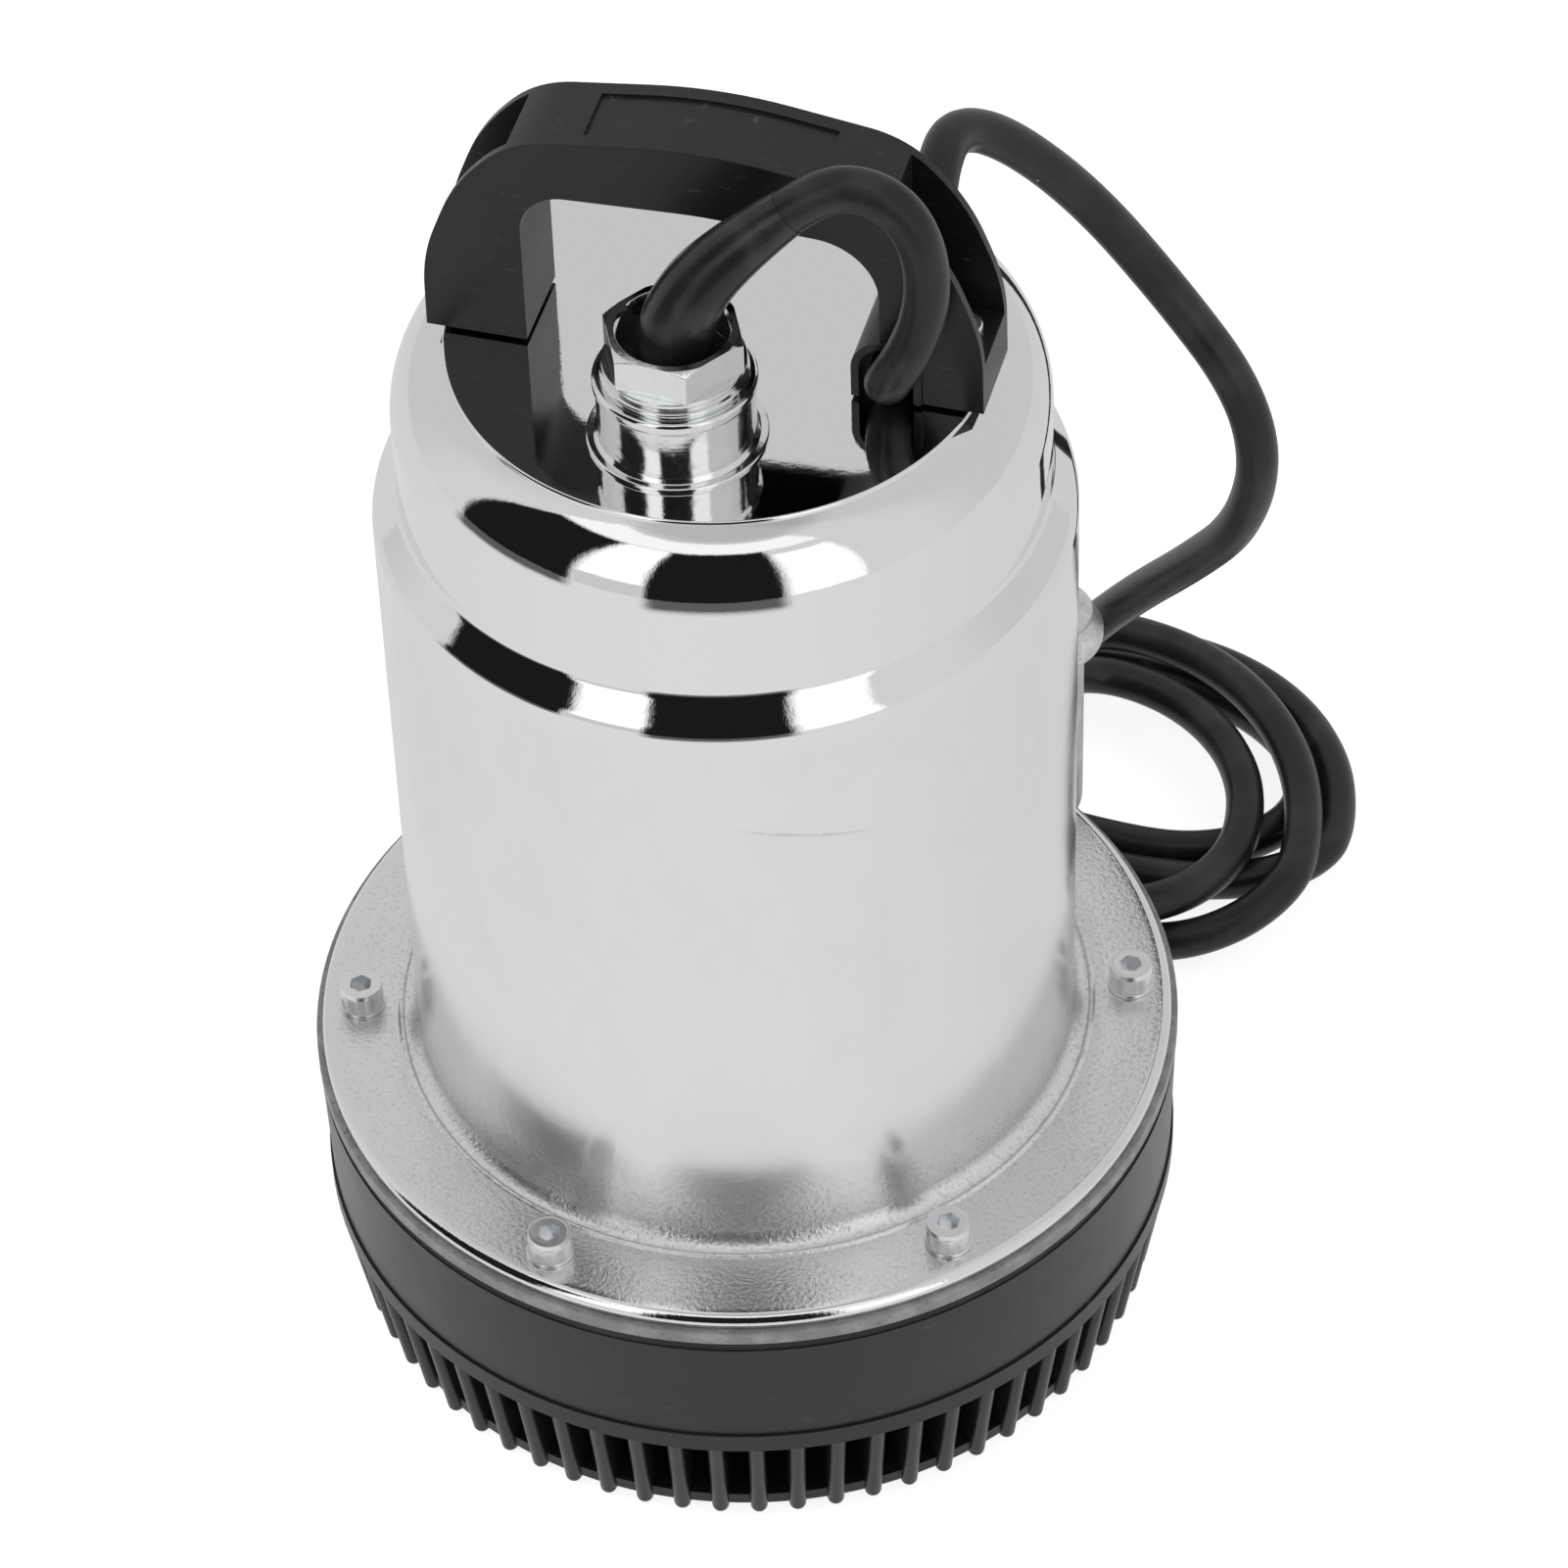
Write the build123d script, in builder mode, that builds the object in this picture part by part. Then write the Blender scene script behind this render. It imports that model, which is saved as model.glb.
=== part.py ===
from build123d import *

import math
import os

# A small submersible sump pump with a low-voltage motor. It stands on the ribs of its
# strainer. Millimetres, +Z up, X along the carrying handle, -Y on the cable gland's side,
# with the origin on the floor at the centre of the strainer.

os.makedirs("parts", exist_ok=True)

# Overall sizes
BODY_R = 65.5
BODY_HEIGHT = 175.4
STEP_DEPTH = 4.9
NECK_HEIGHT = 32.4
STEP_HEIGHT = 6.0
CAP_FLAT_INSET = 10.6
SHOULDER_R = 15.5
SHELL_WALL = 1.2
SCREW_LAND = 11.3
FLANGE_RIM = 8.2
FLANGE_THICKNESS = 2.6
FLARE_R = 3.5
FLANGE_EDGE_R = 2.0
BEAD_OFFSET = 3.5
BEAD_WIRE_R = 0.6

# The stack under the flange
PLATE_LIP = 1.2
PLATE_THICKNESS = 3.4
GASKET_THICKNESS = 2.2
HOUSING_HEIGHT = 26.1
HOUSING_TAPER = 0.8
STRAINER_HEIGHT = 29.3
STRAINER_RING_HEIGHT = 4.4

# Strainer basket
RIB_COUNT = 66
RIB_WIDTH = 3.4
RIB_LEAN = 4.2
RIB_DEPTH = 6.0
RIB_FLAT = 0.05
STRAINER_WALL = 4.0
SKIRT_DROP = 4.6
BOTTOM_PLATE_LIFT = 2.2
BOTTOM_PLATE_THICKNESS = 2.6
CENTRE_FOOT_R = 14.0

# Pump chamber, impeller and discharge
CHAMBER_R = 56.0
CHAMBER_FLOOR = 3.0
EYE_R = 17.0
IMPELLER_R = 42.0
VANE_COUNT = 6
VANE_THICKNESS = 2.4
VANE_GAP = 1.7
SHROUD_THICKNESS = 3.0
DISCHARGE_ANGLE = 66.6
DISCHARGE_STANDOFF = 12.2
PIPE_R = 8.4
PIPE_BORE_R = 6.4
PIPE_TOP_ABOVE_FLANGE = 31.0
BARB_R = 12.3
BARB_TIP_R = 10.2
BARB_CONE = 4.6
BARB_RIM = 2.6

# Fasteners
SCREW_COUNT = 6
SCREW_ANGLE = 16.0
SCREW_R = 2.5
SCREW_HEAD_R = 4.25
SCREW_HEAD_HEIGHT = 5.0
SCREW_HEX_AF = 4.0
WASHER_R = 4.6
WASHER_THICKNESS = 0.9
INSERT_R = 3.6
INSERT_LENGTH = 12.0

# Shaft, bearings and seal
SHAFT_R = 5.0
JOURNAL_R = 4.0
TOWER_R = 22.0
TOWER_HEIGHT = 19.0
LOWER_RACE_R = 13.0
LOWER_RACE_WIDTH = 8.0
UPPER_RACE_R = 11.0
UPPER_RACE_WIDTH = 7.0
BALL_COUNT = 8
BALL_CLEARANCE = 0.05
SEAL_R = 12.0
SEAL_SEAT_THICKNESS = 4.0

# Motor
HEADROOM = 36.0
YOKE_R = 53.5
YOKE_WALL = 3.5
SHIELD_THICKNESS = 4.0
MAGNET_THICKNESS = 5.5
MAGNET_ARC = 130.0
AIR_GAP = 0.7
SLOT_COUNT = 12
SLOT_WIDTH = 5.0
SLOT_DEPTH = 14.0
END_TURNS = 9.0
COMMUTATOR_R = 13.0
COMMUTATOR_LENGTH = 14.0
BRUSH_LENGTH = 14.0
BRUSH_WIDTH = 6.0
BRUSH_HEIGHT = 8.0
TIE_BOLT_R = 2.0
TIE_EAR_R = 4.5

# Handle
HANDLE_LENGTH = 104.0
HANDLE_HEIGHT = 51.5
HANDLE_WIDTH = 17.8
HANDLE_Y = -1.6
HANDLE_WALL = 1.8
WINDOW_LENGTH = 66.0
WINDOW_HEIGHT = 36.5
FOOT_HEIGHT = 11.0
FOOT_SCREW_X = 46.0
PANEL_LEFT = -21.0
PANEL_RIGHT = 22.5
PANEL_DEPTH = 0.6
TUNNEL_X = 34.2
TUNNEL_R = 5.0
TUNNEL_WALL = 1.5
TUNNEL_RISE = 7.5

# Cable gland, boot and cable
GLAND_Y = -27.0
BOSS_R = 14.3
BOSS_HEIGHT = 14.5
BOSS_FOOT_R = 16.4
BOSS_BORE_R = 8.4
COLLAR_R = 13.4
COLLAR_HEIGHT = 3.4
NUT_ACROSS_FLATS = 23.0
NUT_HEIGHT = 6.9
NUT_BORE_R = 9.8
NUT_TURN = -4.7
BOOT_R = 6.85
CABLE_R = 4.15
LEAD_R = 1.9
CLEARANCE = 0.3

# Levels, from the floor up
rib_top = STRAINER_HEIGHT - STRAINER_RING_HEIGHT
housing_bottom = STRAINER_HEIGHT
gasket_bottom = housing_bottom + HOUSING_HEIGHT
plate_bottom = gasket_bottom + GASKET_THICKNESS
flange_bottom = plate_bottom + PLATE_THICKNESS
flange_top = flange_bottom + FLANGE_THICKNESS
cap_top = flange_top + BODY_HEIGHT
neck_bottom = cap_top - NECK_HEIGHT
tower_top = flange_bottom + TOWER_HEIGHT
motor_top = cap_top - HEADROOM
chamber_floor = housing_bottom + CHAMBER_FLOOR
vane_bottom = chamber_floor + VANE_GAP
shroud_top = plate_bottom - 7.1
discharge_z = housing_bottom + HOUSING_HEIGHT / 2

# Radii that follow from the ones above
neck_r = BODY_R - STEP_DEPTH
cap_flat_r = neck_r - CAP_FLAT_INSET
screw_circle_r = BODY_R + SCREW_LAND
flange_r = screw_circle_r + FLANGE_RIM
stack_r = flange_r + PLATE_LIP
rib_foot_r = stack_r - RIB_LEAN
discharge_reach = stack_r + DISCHARGE_STANDOFF
shell_inner_r = BODY_R - SHELL_WALL
yoke_bore_r = YOKE_R - YOKE_WALL
magnet_bore_r = yoke_bore_r - MAGNET_THICKNESS
core_r = magnet_bore_r - AIR_GAP
nut_corner_r = NUT_ACROSS_FLATS / math.sqrt(3)
tie_circle_r = YOKE_R + TIE_EAR_R + 0.4


def turn(*outline, mode=Mode.ADD):
    """Revolve a closed outline of (radius, height) points about the vertical axis."""
    with BuildSketch(Plane.XZ) as section:
        with BuildLine():
            Polyline(*outline, close=True)
        make_face()
    revolve(section.sketch, axis=Axis.Z, mode=mode)


def ring(outer, inner, bottom, top, mode=Mode.ADD):
    """A plain ring between two heights; an inner radius of 0 makes a disc."""
    with BuildSketch(Plane.XY.offset(bottom)) as section:
        Circle(outer)
        if inner > 0:
            Circle(inner, mode=Mode.SUBTRACT)
    extrude(section.sketch, amount=top - bottom, mode=mode)


def posts(radius, bottom, top, places, mode=Mode.ADD):
    """Round posts, or holes, between two heights at a list of places."""
    with BuildSketch(Plane.XY.offset(bottom)) as section:
        with places:
            Circle(radius)
    extrude(section.sketch, amount=top - bottom, mode=mode)


def screw_circle():
    return PolarLocations(screw_circle_r, SCREW_COUNT, start_angle=SCREW_ANGLE)


def tie_places():
    return PolarLocations(tie_circle_r, 2, start_angle=90)


def save(piece, name):
    """Label a finished piece and write it as the node of that name."""
    piece.part.label = name
    export_step(piece.part, f"parts/{name}.step")


def corner_radii(points):
    """Corner radii of a cable route: 0.45 of the shorter run over tan(half the turn)."""
    corners = [Vector(*point) for point in points]
    radii = []
    for before, corner, after in zip(corners, corners[1:], corners[2:]):
        arriving = corner - before
        leaving = after - corner
        half_turn = math.radians(arriving.get_angle(leaving)) / 2
        radii.append(0.45 * min(arriving.length, leaving.length) / math.tan(half_turn))
    return radii


def cable_tube(points, radius):
    """A round tube along straight runs joined by tangent arcs."""
    radii = corner_radii(points)
    with BuildPart() as tube:
        with BuildLine() as route:
            FilletPolyline(*points, radius=radii)
        path = route.wires()[0]
        with BuildSketch(Plane(origin=path @ 0, z_dir=path % 0)):
            Circle(radius)
        sweep(path=path)
    expected = math.pi * radius**2 * path.length
    print("  route", round(path.length, 1), "mm, radii", [round(value, 1) for value in radii])
    print("  volume over section times length", round(tube.part.volume / expected, 4))
    return tube


# ---------------------------------------------------------------- drawn steel shell

def shell_form(inset):
    """The shell's outer form, or its hollow when inset by the wall."""
    half_turn = math.atan2(BODY_R - neck_r, STEP_HEIGHT) / 2
    drop = inset * math.tan(half_turn)
    with BuildPart() as form:
        with BuildSketch(Plane.XZ):
            with BuildLine():
                side = FilletPolyline(
                    (0, cap_top - inset),
                    (neck_r - inset, cap_top - inset),
                    (neck_r - inset, neck_bottom - drop),
                    (BODY_R - inset, neck_bottom - STEP_HEIGHT - drop),
                    (BODY_R - inset, flange_bottom),
                    radius=[SHOULDER_R - inset, 3.0 + inset, 5.0 - inset],
                )
                Polyline(side @ 1, (0, flange_bottom), side @ 0)
            make_face()
        revolve(axis=Axis.Z)
    return form


shell_outside = shell_form(0)
shell_hollow = shell_form(SHELL_WALL)

with BuildPart() as cap_disc:
    ring(cap_flat_r, 0, cap_top - SHELL_WALL, cap_top)
    fillet(cap_disc.faces().sort_by(Axis.Z)[-1].edges(), 0.5)

with BuildPart() as motor_shell:
    add(shell_outside.part)
    add(cap_disc.part)
    with BuildSketch(Plane.XZ):
        with BuildLine():
            edge = FilletPolyline(
                (BODY_R - 0.5, flange_top + FLARE_R + 0.5),
                (BODY_R, flange_top + FLARE_R + 0.4),
                (BODY_R, flange_top),
                (flange_r, flange_top),
                (flange_r, flange_bottom),
                radius=[0.2, FLARE_R, FLANGE_EDGE_R],
            )
            Polyline(edge @ 1, (BODY_R - 0.5, flange_bottom), edge @ 0)
        make_face()
    revolve(axis=Axis.Z)
    with Locations((0, 0, flange_top)):
        Torus(BODY_R + BEAD_OFFSET, BEAD_WIRE_R)
    add(shell_hollow.part, mode=Mode.SUBTRACT)
    posts(SCREW_R + CLEARANCE, flange_bottom, flange_top + 1, screw_circle(), Mode.SUBTRACT)
    posts(BOSS_BORE_R, cap_top - 3, cap_top + 1, Locations((0, GLAND_Y)), Mode.SUBTRACT)
    foot_screws = Locations((-FOOT_SCREW_X, HANDLE_Y), (FOOT_SCREW_X, HANDLE_Y))
    posts(2.0 + CLEARANCE, cap_top - 9, cap_top + 1, foot_screws, Mode.SUBTRACT)
save(motor_shell, "motor_shell")

# ---------------------------------------------------------------- cable gland

gland_plane = Plane(origin=(0, GLAND_Y, cap_top), x_dir=(1, 0, 0), z_dir=(0, 0, 1))
collar_top = BOSS_HEIGHT + COLLAR_HEIGHT
nut_top = collar_top + NUT_HEIGHT


def gland_turn(*outline):
    """Revolve a closed outline of (radius, height above the cap) about the gland's axis."""
    side = Plane(origin=gland_plane.origin, x_dir=(1, 0, 0), z_dir=(0, -1, 0))
    with BuildSketch(side) as section:
        with BuildLine():
            Polyline(*outline, close=True)
        make_face()
    revolve(section.sketch, axis=Axis(gland_plane.origin, (0, 0, 1)))


with BuildPart() as gland_boss:
    gland_turn(
        (BOSS_BORE_R, 0),
        (BOSS_FOOT_R, 0),
        (BOSS_FOOT_R, 0.7),
        (BOSS_R + 0.6, 0.9),
        (BOSS_R, 1.5),
        (BOSS_R, BOSS_HEIGHT - 2.2),
        (BOSS_R + 0.5, BOSS_HEIGHT - 1.7),
        (BOSS_R + 0.5, BOSS_HEIGHT - 0.7),
        (BOSS_R - 0.2, BOSS_HEIGHT),
        (BOSS_BORE_R, BOSS_HEIGHT),
    )
save(gland_boss, "gland_boss")

spigot_r = BOSS_BORE_R - 0.2
with BuildPart() as gland_collar:
    gland_turn(
        (BOOT_R + 0.2, BOSS_HEIGHT - 8),
        (spigot_r, BOSS_HEIGHT - 8),
        (spigot_r, BOSS_HEIGHT),
        (COLLAR_R, BOSS_HEIGHT),
        (COLLAR_R, BOSS_HEIGHT + 1.2),
        (COLLAR_R - 0.9, BOSS_HEIGHT + 1.6),
        (COLLAR_R - 0.9, BOSS_HEIGHT + 2.2),
        (COLLAR_R - 0.4, BOSS_HEIGHT + 2.6),
        (COLLAR_R - 0.4, collar_top),
        (NUT_BORE_R, collar_top),
        (NUT_BORE_R, BOSS_HEIGHT + 1),
        (BOOT_R + 0.2, BOSS_HEIGHT + 1),
    )
save(gland_collar, "gland_collar")

with BuildPart() as gland_nut:
    with BuildSketch(gland_plane.offset(collar_top)):
        RegularPolygon(nut_corner_r, 6, rotation=NUT_TURN)
        Circle(NUT_BORE_R, mode=Mode.SUBTRACT)
    extrude(amount=NUT_HEIGHT)
    with BuildSketch(Plane(origin=gland_plane.origin, x_dir=(1, 0, 0), z_dir=(0, -1, 0))):
        with BuildLine():
            Polyline(
                (nut_corner_r - 1.4, nut_top),
                (nut_corner_r + 1, nut_top),
                (nut_corner_r + 1, nut_top - 1.4),
                close=True,
            )
        make_face()
    revolve(axis=Axis(gland_plane.origin, (0, 0, 1)), mode=Mode.SUBTRACT)
    bore_edge = gland_nut.edges().filter_by(GeomType.CIRCLE).group_by(Axis.Z)[-1].sort_by(SortBy.RADIUS)[0]
    chamfer(bore_edge, 0.6)
save(gland_nut, "gland_nut")

with BuildPart() as gland_grommet:
    gland_turn(
        (BOOT_R, BOSS_HEIGHT + 1),
        (NUT_BORE_R, BOSS_HEIGHT + 1),
        (NUT_BORE_R, collar_top - 0.6),
        (BOOT_R, collar_top - 0.6),
    )
save(gland_grommet, "gland_grommet")

# ---------------------------------------------------------------- carrying handle

half_length = HANDLE_LENGTH / 2
half_window = WINDOW_LENGTH / 2
half_width = HANDLE_WIDTH / 2
crown_rise = 4.9


right_outline = [
    (34.0, cap_top + HANDLE_HEIGHT - crown_rise),
    (half_length - 7, cap_top + 35),
    (half_length - 0.2, cap_top + 17),
    (half_length, cap_top),
]
left_outline = [(-x, z) for x, z in reversed(right_outline)]


def crown_height(x):
    return cap_top + HANDLE_HEIGHT - crown_rise * abs(x) / 34


def handle_slab(half_thickness):
    """The full outline of the handle as a slab across Y."""
    with BuildPart() as slab:
        with BuildSketch(Plane.XZ):
            with BuildLine():
                crown = (0, cap_top + HANDLE_HEIGHT)
                over = FilletPolyline(
                    *left_outline, crown, *right_outline, radius=[40, 40, 20, 90, 20, 40, 40]
                )
                Line(over @ 1, over @ 0)
            make_face()
        extrude(amount=half_thickness, both=True)
    return slab


def window_prism(grow, half_thickness):
    """The hand hole, grown by a wall, as a prism across Y."""
    bottom = cap_top - 1
    top = cap_top + WINDOW_HEIGHT + grow
    with BuildPart() as prism:
        with BuildSketch(Plane.XZ):
            with BuildLine():
                arch = FilletPolyline(
                    (-half_window - grow, bottom),
                    (-half_window - grow, top - 1.5),
                    (0, top),
                    (half_window + grow, top - 1.5),
                    (half_window + grow, bottom),
                    radius=[9 + grow, 90, 12 + grow],
                )
                Line(arch @ 1, arch @ 0)
            make_face()
        extrude(amount=half_thickness, both=True)
    return prism


channel_half = half_width - HANDLE_WALL
handle_slab_full = handle_slab(half_width)
channel_slab = handle_slab(channel_half)
hand_hole = window_prism(0, half_width + 5)
web_hole = window_prism(2.2, half_width + 5)
channel_end = half_length - 17

with BuildPart() as channel:
    add(channel_slab.part)
    add(web_hole.part, mode=Mode.SUBTRACT)
    with Locations((0, 0, cap_top + HANDLE_HEIGHT / 2)):
        Box(2 * channel_end, 2 * HANDLE_WIDTH, 2 * HANDLE_HEIGHT, mode=Mode.SUBTRACT)
    with Locations((0, 0, cap_top + FOOT_HEIGHT - 20)):
        Box(2 * HANDLE_LENGTH, 2 * HANDLE_WIDTH, 40, mode=Mode.SUBTRACT)

with BuildPart() as grip_pocket:
    with Locations((0, 0, cap_top + WINDOW_HEIGHT - 2)):
        Box(WINDOW_LENGTH - 22, 2 * channel_half, 22, align=(Align.CENTER, Align.CENTER, Align.MIN))
    with BuildSketch(Plane.XZ):
        with BuildLine():
            roof = Polyline(
                (-half_length, crown_height(half_length) - 3),
                (0, crown_height(0) - 3),
                (half_length, crown_height(half_length) - 3),
            )
            Polyline(roof @ 1, (half_length, cap_top + 80), (-half_length, cap_top + 80), roof @ 0)
        make_face()
    extrude(amount=HANDLE_WIDTH, both=True, mode=Mode.SUBTRACT)

with BuildPart() as name_panel:
    with BuildSketch(Plane.XZ):
        with BuildLine():
            dip = FilletPolyline(
                (PANEL_LEFT, crown_height(PANEL_LEFT) - PANEL_DEPTH),
                (0, crown_height(0) - PANEL_DEPTH),
                (PANEL_RIGHT, crown_height(PANEL_RIGHT) - PANEL_DEPTH),
                radius=[90],
            )
            Polyline(dip @ 1, (PANEL_RIGHT, cap_top + 60), (PANEL_LEFT, cap_top + 60), dip @ 0)
        make_face()
    extrude(amount=half_width - 3, both=True)

tunnel_outer_r = TUNNEL_R + TUNNEL_WALL


def tunnel_prism(radius, half_depth):
    """An upright arch section across Y, from below the cap's top to the tunnel's crown."""
    with BuildPart() as prism:
        with BuildSketch(Plane.XZ):
            with Locations((TUNNEL_X, cap_top + TUNNEL_RISE)):
                Circle(radius)
            with Locations((TUNNEL_X, cap_top + TUNNEL_RISE / 2)):
                Rectangle(2 * radius, TUNNEL_RISE)
        extrude(amount=half_depth, both=True)
    return prism


tunnel_outside = tunnel_prism(tunnel_outer_r, half_width + 0.6)
tunnel_inside = tunnel_prism(TUNNEL_R, half_width + 5)

with BuildPart() as handle_form:
    add(handle_slab_full.part)
    add(hand_hole.part, mode=Mode.SUBTRACT)
    add(channel.part, mode=Mode.SUBTRACT)
    add(grip_pocket.part, mode=Mode.SUBTRACT)
    add(name_panel.part, mode=Mode.SUBTRACT)
    add(tunnel_outside.part)
    add(tunnel_inside.part, mode=Mode.SUBTRACT)

with BuildPart() as handle:
    with Locations((0, HANDLE_Y, 0)):
        add(handle_form.part)
    add(shell_outside.part, mode=Mode.SUBTRACT)
    add(cap_disc.part, mode=Mode.SUBTRACT)
    posts(2.0 + 0.2, cap_top - 5, cap_top + FOOT_HEIGHT + 1, foot_screws, Mode.SUBTRACT)
save(handle, "handle")

with BuildPart() as handle_screws:
    posts(2.0, cap_top - 8, cap_top + FOOT_HEIGHT, foot_screws)
    posts(3.6, cap_top + FOOT_HEIGHT, cap_top + FOOT_HEIGHT + 2.6, foot_screws)
    posts(1.5, cap_top + FOOT_HEIGHT + 1.4, cap_top + FOOT_HEIGHT + 2.7, foot_screws, Mode.SUBTRACT)
save(handle_screws, "handle_screws")

weld_nut_top = cap_top - SHELL_WALL - CLEARANCE
with BuildPart() as handle_weld_nuts:
    with BuildSketch(Plane.XY.offset(weld_nut_top - 4)):
        with foot_screws:
            RegularPolygon(4.0, 6)
            Circle(2.0, mode=Mode.SUBTRACT)
    extrude(amount=4)
    add(shell_hollow.part, mode=Mode.INTERSECT)
save(handle_weld_nuts, "handle_weld_nuts")

# ---------------------------------------------------------------- chamber plate and gasket

tower_bottom = plate_bottom - 5.0
seal_pocket_top = flange_bottom - 1.0
lower_race_bottom = tower_top - LOWER_RACE_WIDTH
oring_r = (BODY_R + screw_circle_r - SCREW_R) / 2
oring_wire_r = 1.0

with BuildPart() as chamber_plate:
    ring(stack_r, 0, plate_bottom, flange_bottom)
    ring(TOWER_R, 0, flange_bottom, tower_top)
    ring(SEAL_R + 4, 0, tower_bottom, plate_bottom)
    posts(4.5, flange_bottom, flange_bottom + 8, tie_places())
    ring(LOWER_RACE_R, 0, lower_race_bottom, tower_top, Mode.SUBTRACT)
    ring(SEAL_R, 0, tower_bottom, seal_pocket_top, Mode.SUBTRACT)
    ring(SHAFT_R + 1, 0, tower_bottom, tower_top, Mode.SUBTRACT)
    groove_bottom = flange_bottom - 2 * oring_wire_r - 0.1
    ring(oring_r + 1.3, oring_r - 1.3, groove_bottom, flange_bottom, Mode.SUBTRACT)
    posts(SCREW_R + CLEARANCE, plate_bottom, flange_bottom, screw_circle(), Mode.SUBTRACT)
    posts(TIE_BOLT_R, plate_bottom + 1, flange_bottom + 8, tie_places(), Mode.SUBTRACT)
save(chamber_plate, "chamber_plate")

with BuildPart() as flange_oring:
    with Locations((0, 0, flange_bottom - oring_wire_r - 0.05)):
        Torus(oring_r, oring_wire_r)
save(flange_oring, "flange_oring")

with BuildPart() as flange_gasket:
    ring(stack_r - 0.5, CHAMBER_R + 6, gasket_bottom, plate_bottom)
    posts(SCREW_R + CLEARANCE, gasket_bottom, plate_bottom, screw_circle(), Mode.SUBTRACT)
save(flange_gasket, "flange_gasket")

with BuildPart() as flange_washers:
    posts(WASHER_R, flange_top, flange_top + WASHER_THICKNESS, screw_circle())
    posts(SCREW_R + 0.2, flange_top, flange_top + WASHER_THICKNESS, screw_circle(), Mode.SUBTRACT)
save(flange_washers, "flange_washers")

head_bottom = flange_top + WASHER_THICKNESS
with BuildPart() as flange_screws:
    posts(SCREW_R, gasket_bottom - INSERT_LENGTH + 1, head_bottom, screw_circle())
    posts(SCREW_HEAD_R, head_bottom, head_bottom + SCREW_HEAD_HEIGHT, screw_circle())
    rims = flange_screws.edges().filter_by(GeomType.CIRCLE).group_by(Axis.Z)[-1]
    fillet(rims, 0.6)
    with BuildSketch(Plane.XY.offset(head_bottom + SCREW_HEAD_HEIGHT - 2.5)):
        with screw_circle():
            RegularPolygon(SCREW_HEX_AF / 2, 6, major_radius=False)
    extrude(amount=3, mode=Mode.SUBTRACT)
save(flange_screws, "flange_screws")

insert_bottom = gasket_bottom - INSERT_LENGTH
with BuildPart() as thread_inserts:
    posts(INSERT_R, insert_bottom, gasket_bottom, screw_circle())
    posts(SCREW_R, insert_bottom, gasket_bottom, screw_circle(), Mode.SUBTRACT)
save(thread_inserts, "thread_inserts")

# ---------------------------------------------------------------- pump housing and discharge

discharge_angle = math.radians(DISCHARGE_ANGLE)
outward = Vector(math.cos(discharge_angle), math.sin(discharge_angle), 0)
discharge_foot = outward * discharge_reach + Vector(0, 0, discharge_z)
port_inner_r = CHAMBER_R - 2
seat_r = stack_r - 6


def radial_bar(radius, start, end, height, mode=Mode.ADD):
    """A round bar, or bore, from one radius out to another towards the discharge."""
    plane = Plane(origin=outward * start + Vector(0, 0, height), z_dir=outward)
    with BuildSketch(plane) as section:
        Circle(radius)
    extrude(section.sketch, amount=end - start, mode=mode)


strainer_screw_r = CHAMBER_R + 10


def strainer_screw_places():
    return PolarLocations(strainer_screw_r, 3, start_angle=-30)


with BuildPart() as volute_housing:
    turn(
        (0, housing_bottom),
        (stack_r - HOUSING_TAPER, housing_bottom),
        (stack_r - 0.2, gasket_bottom),
        (0, gasket_bottom),
    )
    ring(CHAMBER_R, 0, chamber_floor, gasket_bottom, Mode.SUBTRACT)
    ring(EYE_R, 0, housing_bottom, chamber_floor, Mode.SUBTRACT)
    posts(INSERT_R, insert_bottom, gasket_bottom, screw_circle(), Mode.SUBTRACT)
    radial_bar(PIPE_BORE_R, port_inner_r, stack_r + 1, discharge_z, Mode.SUBTRACT)
    radial_bar(PIPE_R + 0.1, seat_r, stack_r + 1, discharge_z, Mode.SUBTRACT)
    posts(1.5, housing_bottom, housing_bottom + 9, strainer_screw_places(), Mode.SUBTRACT)
save(volute_housing, "volute_housing")

pipe_top = flange_top + PIPE_TOP_ABOVE_FLANGE
barb_bottom = pipe_top - BARB_CONE - BARB_RIM
spigot_start = seat_r + 1.6
with BuildPart() as discharge_pipe:
    radial_bar(PIPE_R, spigot_start, discharge_reach, discharge_z)
    with Locations(discharge_foot):
        Sphere(PIPE_R)
    upright = Plane(origin=discharge_foot, x_dir=outward, z_dir=(0, 0, 1))
    with BuildSketch(upright):
        Circle(PIPE_R)
    extrude(amount=pipe_top - discharge_z - 1)
    side = Plane(origin=discharge_foot, x_dir=outward, z_dir=outward.cross(Vector(0, 0, 1)))
    with BuildSketch(side):
        with BuildLine():
            Polyline(
                (0, barb_bottom - discharge_z - 1.6),
                (PIPE_R, barb_bottom - discharge_z - 1.6),
                (BARB_R - 0.5, barb_bottom - discharge_z),
                (BARB_R, barb_bottom - discharge_z + 0.5),
                (BARB_R, barb_bottom - discharge_z + BARB_RIM),
                (BARB_TIP_R, pipe_top - discharge_z - 0.4),
                (BARB_TIP_R - 0.5, pipe_top - discharge_z),
                (0, pipe_top - discharge_z),
                close=True,
            )
        make_face()
    revolve(axis=Axis(discharge_foot, (0, 0, 1)))
    radial_bar(PIPE_BORE_R, spigot_start - 1, discharge_reach, discharge_z, Mode.SUBTRACT)
    with Locations(discharge_foot):
        Sphere(PIPE_BORE_R, mode=Mode.SUBTRACT)
    with BuildSketch(upright):
        Circle(PIPE_BORE_R)
    extrude(amount=pipe_top - discharge_z + 1, mode=Mode.SUBTRACT)
save(discharge_pipe, "discharge_pipe")

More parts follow.
